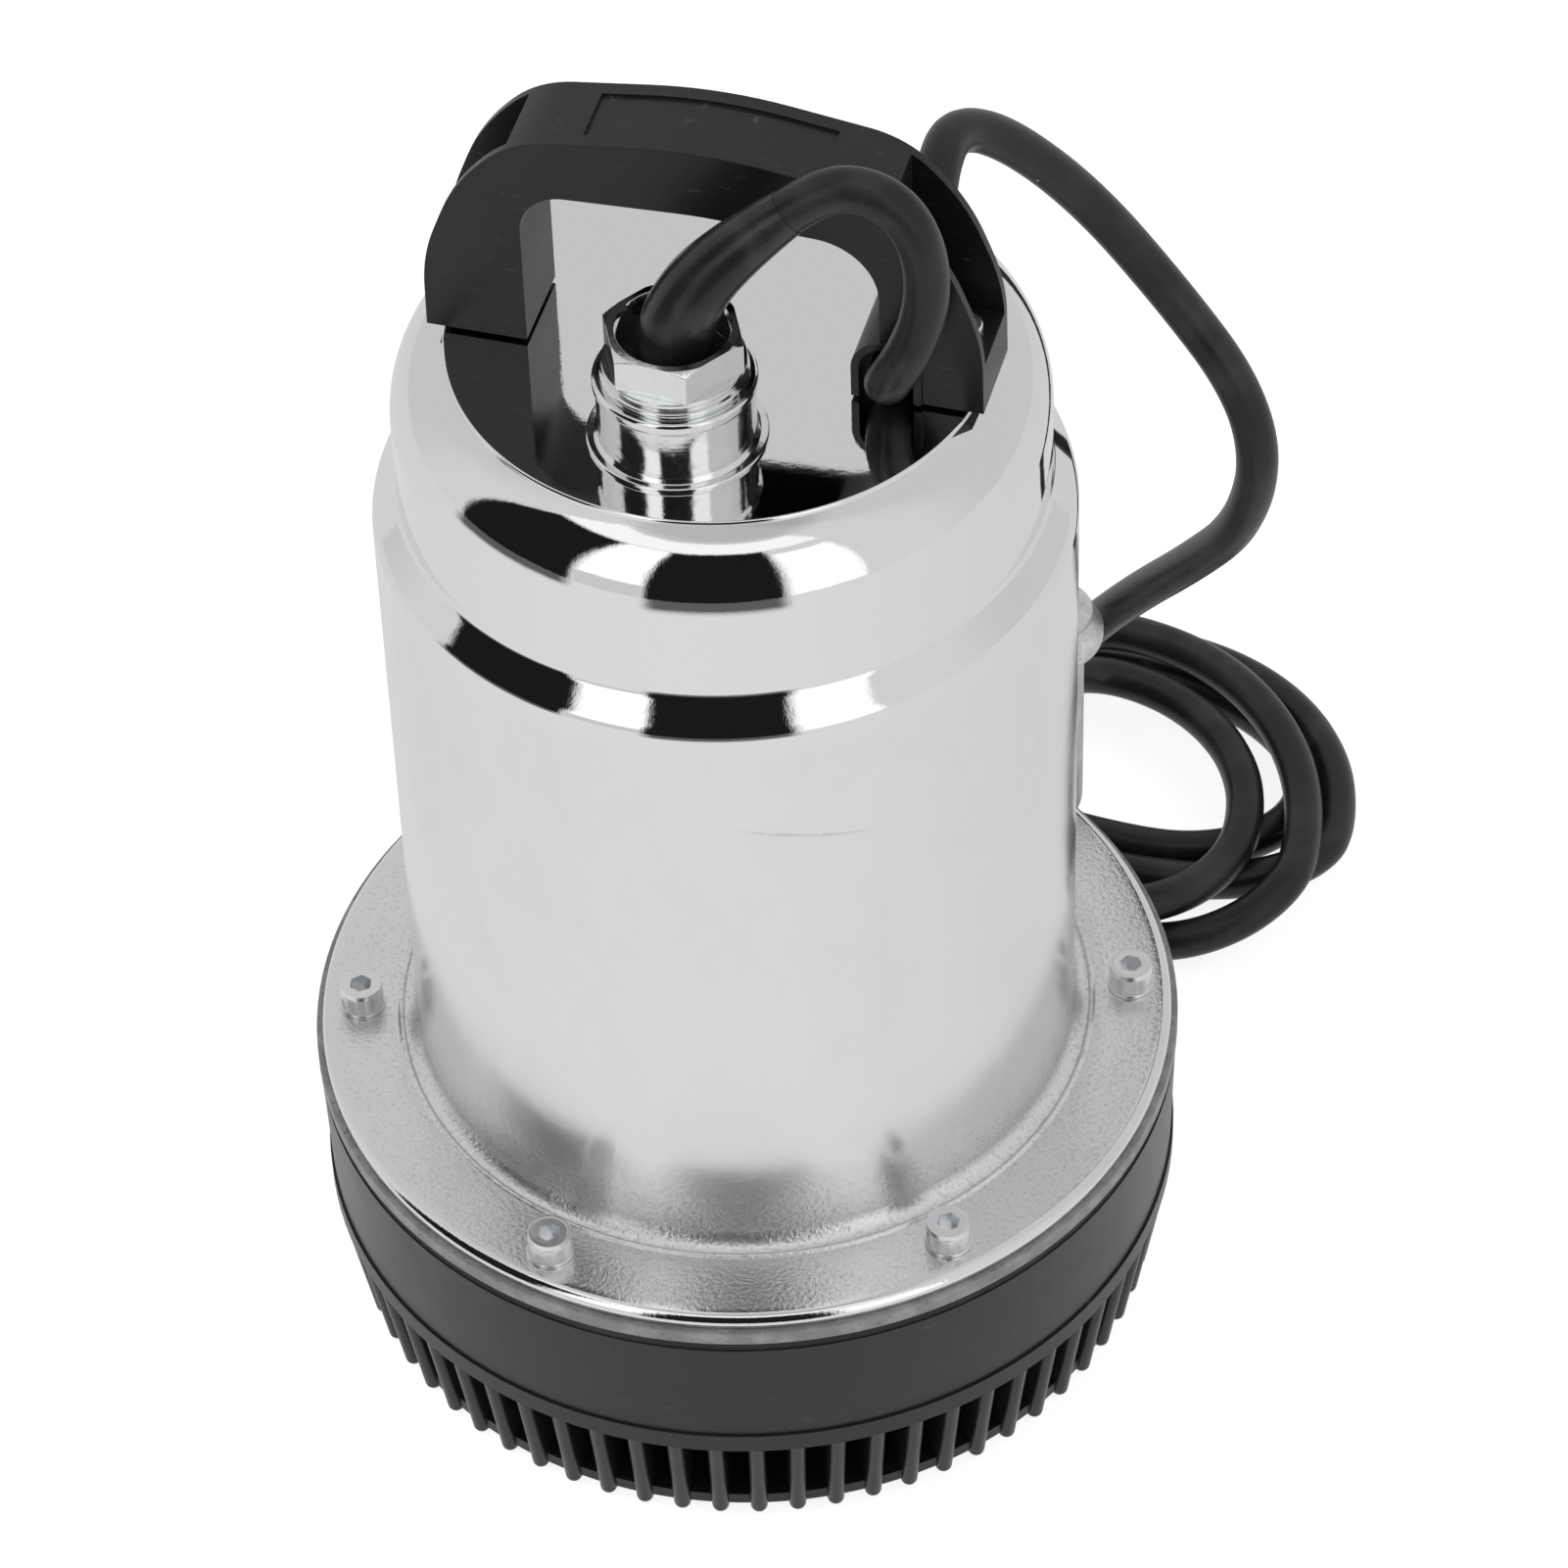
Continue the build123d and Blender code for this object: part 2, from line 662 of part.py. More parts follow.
with BuildPart() as discharge_oring:
    seal_plane = Plane(origin=outward * (seat_r + 0.8) + Vector(0, 0, discharge_z), z_dir=outward)
    with Locations(seal_plane):
        Torus(PIPE_R - 0.9, 0.75)
save(discharge_oring, "discharge_oring")

# ---------------------------------------------------------------- strainer basket

rib_top_r = stack_r - 0.3
rib_end_r = RIB_WIDTH / 2
plate_r = rib_foot_r - 1.4
post_r = 8.0

rib_foot = Vector(rib_foot_r - rib_end_r, 0, rib_end_r - RIB_FLAT)
rib_head = Vector(rib_top_r - rib_end_r, 0, rib_top + 0.5)

with BuildPart() as one_rib:
    with BuildSketch(Plane.XZ):
        with BuildLine():
            Polyline(
                (rib_foot.X - RIB_DEPTH, rib_foot.Z),
                (rib_foot.X, rib_foot.Z),
                (rib_head.X, rib_head.Z),
                (rib_head.X - RIB_DEPTH, rib_head.Z),
                close=True,
            )
        make_face()
    extrude(amount=rib_end_r, both=True)
    with BuildSketch(Plane(origin=rib_foot, z_dir=rib_head - rib_foot)):
        Circle(rib_end_r)
    extrude(amount=(rib_head - rib_foot).length)
    with Locations(rib_foot):
        Sphere(rib_end_r)
    with BuildSketch(Plane(origin=rib_foot, z_dir=(-1, 0, 0))):
        Circle(rib_end_r)
    extrude(amount=RIB_DEPTH)
    with Locations((0, 0, 0)):
        Cylinder(2 * stack_r, 5, align=(Align.CENTER, Align.CENTER, Align.MAX), mode=Mode.SUBTRACT)

with BuildPart() as strainer_basket:
    ring(rib_top_r, rib_top_r - RIB_DEPTH - STRAINER_WALL, rib_top, housing_bottom)
    ring(rib_top_r - RIB_DEPTH, rib_top_r - RIB_DEPTH - STRAINER_WALL, rib_top - SKIRT_DROP, rib_top)
    ring(plate_r, 0, BOTTOM_PLATE_LIFT, BOTTOM_PLATE_LIFT + BOTTOM_PLATE_THICKNESS)
    ring(CENTRE_FOOT_R, 0, 0, BOTTOM_PLATE_LIFT)
    with PolarLocations(0, RIB_COUNT, start_angle=-90.3):
        add(one_rib.part)
    posts(post_r, BOTTOM_PLATE_LIFT, housing_bottom, strainer_screw_places())
    posts(1.8, 0, housing_bottom + 1, strainer_screw_places(), Mode.SUBTRACT)
    posts(4.4, 0, BOTTOM_PLATE_LIFT + 3, strainer_screw_places(), Mode.SUBTRACT)
save(strainer_basket, "strainer_basket")

strainer_head_bottom = BOTTOM_PLATE_LIFT + 0.4
with BuildPart() as strainer_screws:
    posts(4.0, strainer_head_bottom, BOTTOM_PLATE_LIFT + 3, strainer_screw_places())
    posts(1.5, strainer_head_bottom, housing_bottom + 8, strainer_screw_places())
    with BuildSketch(Plane.XY.offset(strainer_head_bottom)):
        with strainer_screw_places():
            Rectangle(5, 1)
            Rectangle(1, 5)
    extrude(amount=1.3, mode=Mode.SUBTRACT)
save(strainer_screws, "strainer_screws")

# ---------------------------------------------------------------- rotor

hub_r = 9.0
nut_bottom = vane_bottom - 0.6
hub_bottom = nut_bottom + 4.5
shaft_bottom = nut_bottom - 1.5
key_width = 2.0
upper_race_bottom = motor_top - UPPER_RACE_WIDTH - 1.0
shield_top = motor_top - 9.0
shield_bottom = shield_top - SHIELD_THICKNESS
core_bottom = tower_top + SHIELD_THICKNESS + END_TURNS + 4
commutator_top = shield_bottom - 4.0
commutator_bottom = commutator_top - COMMUTATOR_LENGTH
core_top = commutator_bottom - END_TURNS - 5

with BuildPart() as motor_shaft:
    turn(
        (0, shaft_bottom),
        (JOURNAL_R, shaft_bottom),
        (JOURNAL_R, shroud_top + 0.2),
        (SHAFT_R, shroud_top + 0.2),
        (SHAFT_R, upper_race_bottom - 1.0),
        (JOURNAL_R, upper_race_bottom - 1.0),
        (JOURNAL_R, motor_top - 0.5),
        (0, motor_top - 0.5),
    )
    with Locations((JOURNAL_R, 0, (hub_bottom + shroud_top) / 2)):
        Box(key_width, key_width, shroud_top - hub_bottom - 2, mode=Mode.SUBTRACT)
    chamfer(motor_shaft.edges().filter_by(GeomType.CIRCLE).group_by(Axis.Z)[0], 0.5)
    chamfer(motor_shaft.edges().filter_by(GeomType.CIRCLE).group_by(Axis.Z)[-1], 0.5)
save(motor_shaft, "motor_shaft")

with BuildPart() as impeller_key:
    with Locations((JOURNAL_R, 0, (hub_bottom + shroud_top) / 2)):
        Box(key_width, key_width, shroud_top - hub_bottom - 2)
save(impeller_key, "impeller_key")

with BuildPart() as impeller:
    ring(IMPELLER_R, 0, shroud_top - SHROUD_THICKNESS, shroud_top)
    ring(hub_r, 0, hub_bottom, shroud_top)
    vane_plane = Plane.XY.offset(vane_bottom)
    for index in range(VANE_COUNT):
        with BuildSketch(vane_plane.rotated((0, 0, 360 * index / VANE_COUNT))):
            with BuildLine():
                ThreePointArc((EYE_R - 3, 0), (IMPELLER_R * 0.7, 9), (IMPELLER_R - 4, 17))
            trace(line_width=VANE_THICKNESS)
        extrude(amount=shroud_top - SHROUD_THICKNESS - vane_bottom)
    ring(JOURNAL_R, 0, hub_bottom, shroud_top, Mode.SUBTRACT)
    with Locations((JOURNAL_R, 0, (hub_bottom + shroud_top) / 2)):
        Box(key_width, key_width, shroud_top - hub_bottom - 2, mode=Mode.SUBTRACT)
save(impeller, "impeller")

with BuildPart() as impeller_nut:
    with BuildSketch(Plane.XY.offset(nut_bottom)):
        RegularPolygon(6.5, 6, major_radius=False)
        Circle(JOURNAL_R, mode=Mode.SUBTRACT)
    extrude(amount=hub_bottom - nut_bottom)
save(impeller_nut, "impeller_nut")

seal_seat_bottom = seal_pocket_top - SEAL_SEAT_THICKNESS
with BuildPart() as seal_seat:
    ring(SEAL_R, SHAFT_R + 1.2, seal_seat_bottom, seal_pocket_top)
save(seal_seat, "seal_seat")

with BuildPart() as seal_head:
    turn(
        (SHAFT_R, shroud_top + 0.2),
        (SEAL_R - 1.5, shroud_top + 0.2),
        (SEAL_R - 1.5, shroud_top + 2.0),
        (SHAFT_R + 3.5, seal_seat_bottom - 0.1),
        (SHAFT_R, seal_seat_bottom - 0.1),
    )
save(seal_head, "seal_head")


def bearing(name, outer_r, inner_r, bottom, width):
    """Write a ball bearing as its outer race, inner race and balls."""
    pitch = (outer_r + inner_r) / 2
    ball_r = (outer_r - inner_r) * 0.28
    land = ball_r * 0.55
    middle = bottom + width / 2
    with BuildPart() as outer_race:
        ring(outer_r, pitch + land, bottom, bottom + width)
        with Locations((0, 0, middle)):
            Torus(pitch, ball_r + BALL_CLEARANCE, mode=Mode.SUBTRACT)
    save(outer_race, f"{name}_outer_race")
    with BuildPart() as inner_race:
        ring(pitch - land, inner_r, bottom, bottom + width)
        with Locations((0, 0, middle)):
            Torus(pitch, ball_r + BALL_CLEARANCE, mode=Mode.SUBTRACT)
    save(inner_race, f"{name}_inner_race")
    with BuildPart() as balls:
        with Locations((0, 0, middle)):
            with PolarLocations(pitch, BALL_COUNT):
                Sphere(ball_r)
    save(balls, f"{name}_balls")
    with BuildPart() as cage:
        ring(pitch + land * 0.7, pitch - land * 0.7, middle + ball_r * 0.4, middle + ball_r * 1.25)
        with Locations((0, 0, middle)):
            with PolarLocations(pitch, BALL_COUNT):
                Sphere(ball_r + BALL_CLEARANCE, mode=Mode.SUBTRACT)
    save(cage, f"{name}_cage")
    print(name, "pitch", pitch, "ball radius", ball_r, "cage ratio", (1 - ball_r / pitch) / 2)


bearing("lower_bearing", LOWER_RACE_R, SHAFT_R, lower_race_bottom, LOWER_RACE_WIDTH)
bearing("upper_bearing", UPPER_RACE_R, JOURNAL_R, upper_race_bottom, UPPER_RACE_WIDTH)

slot_r = core_r - SLOT_DEPTH / 2 - 2.0
with BuildPart() as armature_core:
    ring(core_r, SHAFT_R, core_bottom, core_top)
    with BuildSketch(Plane.XY.offset(core_bottom)):
        with PolarLocations(slot_r, SLOT_COUNT):
            Rectangle(SLOT_DEPTH, SLOT_WIDTH)
        with PolarLocations(core_r - 1, SLOT_COUNT):
            Rectangle(4, 1.6)
    extrude(amount=core_top - core_bottom, mode=Mode.SUBTRACT)
save(armature_core, "armature_core")

coil_inner_r = slot_r - SLOT_DEPTH / 2
coil_outer_r = slot_r + SLOT_DEPTH / 2
with BuildPart() as armature_winding:
    ring(coil_outer_r, coil_inner_r, core_bottom - END_TURNS, core_bottom)
    ring(coil_outer_r, coil_inner_r, core_top, core_top + END_TURNS)
    winding_rims = armature_winding.edges().filter_by(GeomType.CIRCLE)
    fillet(winding_rims.group_by(Axis.Z)[0] + winding_rims.group_by(Axis.Z)[-1], 2.5)
    with BuildSketch(Plane.XY.offset(core_bottom)):
        with PolarLocations(slot_r, SLOT_COUNT):
            Rectangle(SLOT_DEPTH - 0.4, SLOT_WIDTH - 0.4)
    extrude(amount=core_top - core_bottom)
save(armature_winding, "armature_winding")

with BuildPart() as commutator:
    ring(COMMUTATOR_R, SHAFT_R, commutator_bottom, commutator_top)
    ring(COMMUTATOR_R + 1.6, SHAFT_R, commutator_bottom, commutator_bottom + 2)
    with BuildSketch(Plane.XY.offset(commutator_bottom)):
        with PolarLocations(COMMUTATOR_R + 0.8, 2 * SLOT_COUNT):
            Rectangle(3.4, 0.5)
    extrude(amount=COMMUTATOR_LENGTH, mode=Mode.SUBTRACT)
save(commutator, "commutator")

# ---------------------------------------------------------------- motor frame

leads_place = Locations((-3.2, GLAND_Y), (3.2, GLAND_Y))


def end_shield_plate(bottom, top):
    """A round shield with two ears that reach out to the tie bolts."""
    with BuildSketch(Plane.XY.offset(bottom)) as section:
        Circle(YOKE_R)
        with tie_places():
            Circle(TIE_EAR_R)
            Rectangle(TIE_EAR_R + 2, 2 * TIE_EAR_R, align=(Align.MAX, Align.CENTER))
            Circle(TIE_BOLT_R + CLEARANCE, mode=Mode.SUBTRACT)
    extrude(section.sketch, amount=top - bottom)


with BuildPart() as lower_end_shield:
    end_shield_plate(tower_top, tower_top + SHIELD_THICKNESS)
    ring(SHAFT_R + 4, 0, tower_top, tower_top + SHIELD_THICKNESS, Mode.SUBTRACT)
save(lower_end_shield, "lower_end_shield")

with BuildPart() as upper_end_shield:
    end_shield_plate(shield_bottom, shield_top)
    ring(UPPER_RACE_R + 4, 0, shield_top, motor_top)
    ring(UPPER_RACE_R, 0, upper_race_bottom, motor_top, Mode.SUBTRACT)
    ring(SHAFT_R + 2, 0, shield_bottom, motor_top, Mode.SUBTRACT)
    posts(LEAD_R + CLEARANCE, shield_bottom, shield_top, leads_place, Mode.SUBTRACT)
save(upper_end_shield, "upper_end_shield")

with BuildPart() as motor_yoke:
    ring(YOKE_R, yoke_bore_r, tower_top + SHIELD_THICKNESS, shield_bottom)
save(motor_yoke, "motor_yoke")

with BuildPart() as tie_bolts:
    posts(TIE_BOLT_R, plate_bottom + 1, shield_top, tie_places())
    posts(3.5, shield_top, shield_top + 4, tie_places())
    posts(1.5, shield_top + 2, shield_top + 5, tie_places(), Mode.SUBTRACT)
save(tie_bolts, "tie_bolts")

with BuildPart() as field_magnets:
    with BuildSketch(Plane.XY.offset(core_bottom - 2)):
        Circle(yoke_bore_r)
        Circle(magnet_bore_r, mode=Mode.SUBTRACT)
        reach = 2 * YOKE_R
        half_gap = math.radians(180 - MAGNET_ARC) / 2
        for sign in (1, -1):
            with BuildLine():
                Polyline(
                    (0, 0),
                    (reach * math.sin(half_gap), sign * reach * math.cos(half_gap)),
                    (-reach * math.sin(half_gap), sign * reach * math.cos(half_gap)),
                    close=True,
                )
            make_face(mode=Mode.SUBTRACT)
    extrude(amount=core_top - core_bottom + 4)
save(field_magnets, "field_magnets")

brush_z = (commutator_bottom + commutator_top) / 2 + 0.5
brush_start = COMMUTATOR_R + 0.3
box_start = brush_start + 3.0
box_end = box_start + 20.0
with BuildPart() as brush_holder:
    ring(yoke_bore_r - 1, 20.0, shield_bottom - 2.5, shield_bottom)
    for sign in (1, -1):
        with Locations((sign * (box_start + box_end) / 2, 0, brush_z)):
            Box(box_end - box_start, BRUSH_WIDTH + 4, 2 * (shield_bottom - brush_z))
    with Locations((0, 0, shield_bottom)):
        Cylinder(YOKE_R, 40, align=(Align.CENTER, Align.CENTER, Align.MIN), mode=Mode.SUBTRACT)
    for sign in (1, -1):
        with Locations((sign * ((box_start + box_end) / 2 - 1.5), 0, brush_z)):
            Box(box_end - box_start, BRUSH_WIDTH, BRUSH_HEIGHT, mode=Mode.SUBTRACT)
save(brush_holder, "brush_holder")

for side_name, sign in (("right", 1), ("left", -1)):
    with BuildPart() as brush:
        with Locations((sign * (brush_start + BRUSH_LENGTH / 2), 0, brush_z)):
            Box(BRUSH_LENGTH, BRUSH_WIDTH - 0.1, BRUSH_HEIGHT - 0.1)
        face_cutter = COMMUTATOR_R + CLEARANCE
        ring(face_cutter, 0, brush_z - BRUSH_HEIGHT, brush_z + BRUSH_HEIGHT, Mode.SUBTRACT)
    save(brush, f"brush_{side_name}")
    with BuildPart() as brush_spring:
        spring_start = brush_start + BRUSH_LENGTH
        spring_end = box_end - 1.5
        turns = 4
        pitch = (spring_end - spring_start) / turns
        for index in range(turns):
            spring_x = sign * (spring_start + pitch * (index + 0.5))
            with Locations(Plane(origin=(spring_x, 0, brush_z), z_dir=(1, 0, 0))):
                Torus(2.2, min(0.45, pitch / 2 - 0.02))
    save(brush_spring, f"brush_spring_{side_name}")

with BuildPart() as internal_leads:
    posts(LEAD_R, shield_bottom, cap_top + BOSS_HEIGHT - 8, leads_place)
save(internal_leads, "internal_leads")

# ---------------------------------------------------------------- boot, cable and coil

boot_bottom = cap_top + BOSS_HEIGHT - 8
BOOT_ROUTE = [
    (0.0, GLAND_Y, boot_bottom),
    (0.0, GLAND_Y, 266.5),
    (7.5, -24.3, 278.5),
    (19.5, -19.8, 288.0),
]
CABLE_ROUTE = [
    (19.5, -19.8, 288.0),
    (25.5, -17.55, 292.75),
    (33.5, -16.4, 293.0),
    (40.0, -15.6, 287.5),
    (43.2, -15.3, 277.5),
    (42.8, -15.2, 266.0),
    (39.6, -15.2, 255.5),
    (35.4, -15.8, 248.0),
    (34.2, -9.0, 243.3),
    (34.2, 9.0, 243.3),
    (33.5, 24.0, 246.0),
    (31.0, 38.0, 253.0),
    (31.0, 51.0, 252.5),
    (38.5, 61.0, 243.5),
    (52.0, 71.0, 223.0),
    (68.0, 74.5, 199.0),
    (80.0, 73.0, 178.0),
    (85.5, 71.5, 158.0),
    (81.0, 75.5, 137.0),
    (70.0, 86.0, 116.0),
    (57.0, 98.0, 92.5),
    (44.5, 109.0, 70.0),
    (34.0, 119.0, 50.0),
    (26.5, 130.5, 32.5),
    (26.0, 144.5, 19.5),
    (35.0, 155.5, 13.5),
]
BOOT_STATIONS = 9

boot_radii = corner_radii(BOOT_ROUTE)
with BuildPart() as strain_relief_boot:
    with BuildLine(mode=Mode.PRIVATE) as boot_line:
        FilletPolyline(*BOOT_ROUTE, radius=boot_radii)
    boot_path = boot_line.wires()[0]
    for index in range(BOOT_STATIONS):
        share = index / (BOOT_STATIONS - 1)
        taper = max(0.0, share - 0.4) / 0.6
        station = Plane(origin=boot_path @ share, z_dir=boot_path % share)
        with BuildSketch(station):
            Circle(BOOT_R - (BOOT_R - CABLE_R - 0.9) * taper)
    loft(ruled=True)
print("boot", round(boot_path.length, 1), "mm, radii", [round(value, 1) for value in boot_radii])
save(strain_relief_boot, "strain_relief_boot")

print("cable")
power_cord = cable_tube(CABLE_ROUTE, CABLE_R)
save(power_cord, "power_cord")

COIL_X = 48.0
COIL_Y = 130.5
COIL_OUTER_R = 50.8
COIL_HOLE_X = 37.0
COIL_HOLE_Y = 138.0
COIL_HOLE_LONG = 30.0
COIL_HOLE_SHORT = 16.0
COIL_HEIGHT = 20.0
with BuildPart() as cord_coil:
    with BuildSketch():
        with Locations((COIL_X, COIL_Y)):
            Circle(COIL_OUTER_R)
        with Locations((COIL_HOLE_X, COIL_HOLE_Y)):
            Ellipse(COIL_HOLE_LONG, COIL_HOLE_SHORT, rotation=-12, mode=Mode.SUBTRACT)
    extrude(amount=COIL_HEIGHT)
    coil_rim = cord_coil.edges().filter_by(GeomType.CIRCLE).group_by(Axis.Z)[-1]
    fillet(coil_rim, 7)
save(cord_coil, "cord_coil")

SLEEVE_R = 5.0
SLEEVE_LENGTH = 22.0
sleeve_z = SLEEVE_R + 0.1
TAIL_ROUTE = [
    (2.0, 112.0, CABLE_R),
    (-14.0, 103.5, CABLE_R),
    (-30.0, 102.0, CABLE_R),
    (-42.0, 108.5, sleeve_z),
    (-47.0, 122.0, sleeve_z),
]
print("tail")
cord_tail = cable_tube(TAIL_ROUTE, CABLE_R)
save(cord_tail, "cord_tail")

tail_end = Vector(*TAIL_ROUTE[-1])
tail_way = (tail_end - Vector(*TAIL_ROUTE[-2])).normalized()
sleeve_start = tail_end - tail_way * 6
with BuildPart() as cord_breakout:
    with BuildSketch(Plane(origin=sleeve_start, z_dir=tail_way)):
        Circle(SLEEVE_R)
    extrude(amount=SLEEVE_LENGTH)
    with BuildSketch(Plane(origin=tail_end - tail_way * 7, z_dir=tail_way)):
        Circle(CABLE_R)
    extrude(amount=7, mode=Mode.SUBTRACT)
save(cord_breakout, "cord_breakout")

sleeve_end = sleeve_start + tail_way * SLEEVE_LENGTH
across = tail_way.cross(Vector(0, 0, 1))
LEAD_LENGTH = 30.0
TERMINAL_BARREL = 9.0
TERMINAL_HOLE_R = 4.2
for lead_name, sign in (("positive", 1), ("negative", -1)):
    lead_start = sleeve_end + across * (sign * 2.2) - Vector(0, 0, sleeve_end.Z - LEAD_R - 1.2)
    bend = lead_start + tail_way * LEAD_LENGTH / 2
    lead_end = lead_start + tail_way * LEAD_LENGTH + across * (sign * 10)
    print("lead", lead_name)
    lead = cable_tube([tuple(lead_start), tuple(bend), tuple(lead_end)], LEAD_R)
    save(lead, f"lead_{lead_name}")
    lead_way = (lead_end - bend).normalized()
    tongue = Plane(origin=lead_end, x_dir=lead_way, z_dir=(0, 0, 1))
    with BuildPart() as ring_terminal:
        with BuildSketch(Plane(origin=lead_end - lead_way * 6, z_dir=lead_way)):
            Circle(LEAD_R + 0.8)
        extrude(amount=TERMINAL_BARREL)
        with BuildSketch(Plane(origin=lead_end - lead_way * 7, z_dir=lead_way)):
            Circle(LEAD_R)
        extrude(amount=7, mode=Mode.SUBTRACT)
        with BuildSketch(tongue.offset(-0.6)):
            with Locations((5, 0)):
                Rectangle(9, 6)
            with Locations((13, 0)):
                Circle(7.5)
        extrude(amount=1.2)
        with BuildSketch(tongue.offset(-1)):
            with Locations((13, 0)):
                Circle(TERMINAL_HOLE_R)
        extrude(amount=2, mode=Mode.SUBTRACT)
    save(ring_terminal, f"ring_terminal_{lead_name}")
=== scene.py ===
"""Looks of a submersible sump pump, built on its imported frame. Sizes are in metres.

The frame holds every piece at its real size. This script models the surfaces that show, lays
the cable with its coil, and dresses each piece in a procedural finish.
"""

import logging
import math
from contextlib import contextmanager
from dataclasses import dataclass
from enum import Enum
from typing import Callable, Iterator, Mapping, Sequence

import bmesh
import bpy
from mathutils import Matrix, Quaternion, Vector


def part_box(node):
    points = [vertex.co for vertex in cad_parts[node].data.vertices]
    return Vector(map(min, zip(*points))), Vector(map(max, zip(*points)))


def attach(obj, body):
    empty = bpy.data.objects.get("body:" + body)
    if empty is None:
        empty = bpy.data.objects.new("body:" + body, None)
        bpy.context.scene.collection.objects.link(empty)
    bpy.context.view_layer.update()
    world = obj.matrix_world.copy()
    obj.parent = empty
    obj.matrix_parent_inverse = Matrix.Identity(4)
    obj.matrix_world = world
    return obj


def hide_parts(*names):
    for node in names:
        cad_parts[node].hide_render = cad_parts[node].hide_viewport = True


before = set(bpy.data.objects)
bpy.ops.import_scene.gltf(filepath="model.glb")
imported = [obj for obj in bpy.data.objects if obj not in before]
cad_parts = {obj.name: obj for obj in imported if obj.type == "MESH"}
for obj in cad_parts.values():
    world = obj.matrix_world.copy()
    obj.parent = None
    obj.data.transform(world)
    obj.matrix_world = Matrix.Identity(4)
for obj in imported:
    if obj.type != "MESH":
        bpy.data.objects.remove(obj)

LOG = logging.getLogger("sump_pump")
MM = 0.001
STATIC_BODY = "pump"
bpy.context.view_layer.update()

Colour = tuple[float, float, float]


# ------------------------------------------------------------------ shader graphs


@dataclass(frozen=True)
class Value:
    """A number socket of a node graph that takes part in Python expressions."""

    graph: "Graph"
    socket: bpy.types.NodeSocket | None

    def __add__(self, other: "Term") -> "Value":
        """Sum of two terms."""
        return self.graph.maths("ADD", self, other)

    __radd__ = __add__

    def __mul__(self, other: "Term") -> "Value":
        """Product of two terms."""
        return self.graph.maths("MULTIPLY", self, other)

    __rmul__ = __mul__

    def __sub__(self, other: "Term") -> "Value":
        """This term less another."""
        return self.graph.maths("SUBTRACT", self, other)

    def __rsub__(self, other: "Term") -> "Value":
        """Another term less this one."""
        return self.graph.maths("SUBTRACT", other, self)

    def __pow__(self, other: "Term") -> "Value":
        """This term raised to a power."""
        return self.graph.maths("POWER", self, other)

    def fade(self, low: float, high: float) -> "Value":
        """A smooth step of this value.

        Args:
            low: the value at which the step is 0.
            high: the value at which it is 1, which may be the smaller one.

        Returns:
            A value from 0 to 1.
        """
        settings = {"interpolation_type": "SMOOTHSTEP"}
        inputs = {"Value": self, "From Min": low, "From Max": high}
        return self.graph.node("ShaderNodeMapRange", settings, inputs)

    def between(self, low: float, high: float, soft: float) -> "Value":
        """A window that is 1 between two limits and fades to 0 over a soft edge."""
        return self.fade(low - soft, low + soft) * self.fade(high + soft, high - soft)


Term = Value | float


@dataclass
class Graph:
    """A node tree that is filled by one node-making method."""

    tree: bpy.types.NodeTree

    def node(
        self,
        kind: str,
        settings: Mapping[str, object] | None = None,
        inputs: Mapping[str | int, object] | None = None,
        output: str | int = 0,
    ) -> Value:
        """Add a node.

        Args:
            kind: the node's type name.
            settings: its own settings, or "stops" for a ramp, which are set first.
            inputs: values or links of its sockets, by name or place.
            output: the output socket that is handed back.

        Returns:
            The chosen output as a value.
        """
        made = self.tree.nodes.new(kind)
        for key, setting in (settings or {}).items():
            setattr(made, key, setting)
        for key, term in (inputs or {}).items():
            if isinstance(term, Value):
                self.tree.links.new(term.socket, made.inputs[key])
            else:
                made.inputs[key].default_value = term
        return Value(self, made.outputs[output] if made.outputs else None)

    def maths(self, operation: str, *terms: Term) -> Value:
        """A Math node over one to three terms."""
        return self.node("ShaderNodeMath", {"operation": operation}, dict(enumerate(terms)))

    def place(self, source: str = "Object") -> Value:
        """The point that is shaded, in the piece's own coordinates."""
        return self.node("ShaderNodeTexCoord", output=source)

    def parts(self, vector: Value) -> tuple[Value, Value, Value]:
        """The X, Y and Z of a vector."""
        split = self.node("ShaderNodeSeparateXYZ", inputs={0: vector}).socket.node
        return Value(self, split.outputs[0]), Value(self, split.outputs[1]), Value(self, split.outputs[2])

    def noise(self, place: Value, scale: float, detail: float = 2.0, roughness: float = 0.5) -> Value:
        """Fractal noise from 0 to 1 with features about one over the scale across."""
        inputs = {"Vector": place, "Scale": scale, "Detail": detail, "Roughness": roughness}
        return self.node("ShaderNodeTexNoise", inputs=inputs)

    def stretched(self, place: Value, scale: tuple[float, float, float]) -> Value:
        """The place with each axis scaled, to draw a pattern out along one of them."""
        return self.node("ShaderNodeMapping", inputs={"Vector": place, "Scale": scale})

    def mixed(self, share: Value, first: Colour, second: Colour) -> Value:
        """A colour that goes from the first to the second as the share goes from 0 to 1."""
        inputs = {0: share, 6: (*first, 1.0), 7: (*second, 1.0)}
        return self.node("ShaderNodeMix", {"data_type": "RGBA"}, inputs, output=2)

    def bump(self, height: Value, distance: float, strength: float = 1.0) -> Value:
        """A normal that follows a height, which is scaled by a distance in metres."""
        inputs = {"Height": height, "Distance": distance, "Strength": strength}
        return self.node("ShaderNodeBump", inputs=inputs)


# ------------------------------------------------------------------ finishes


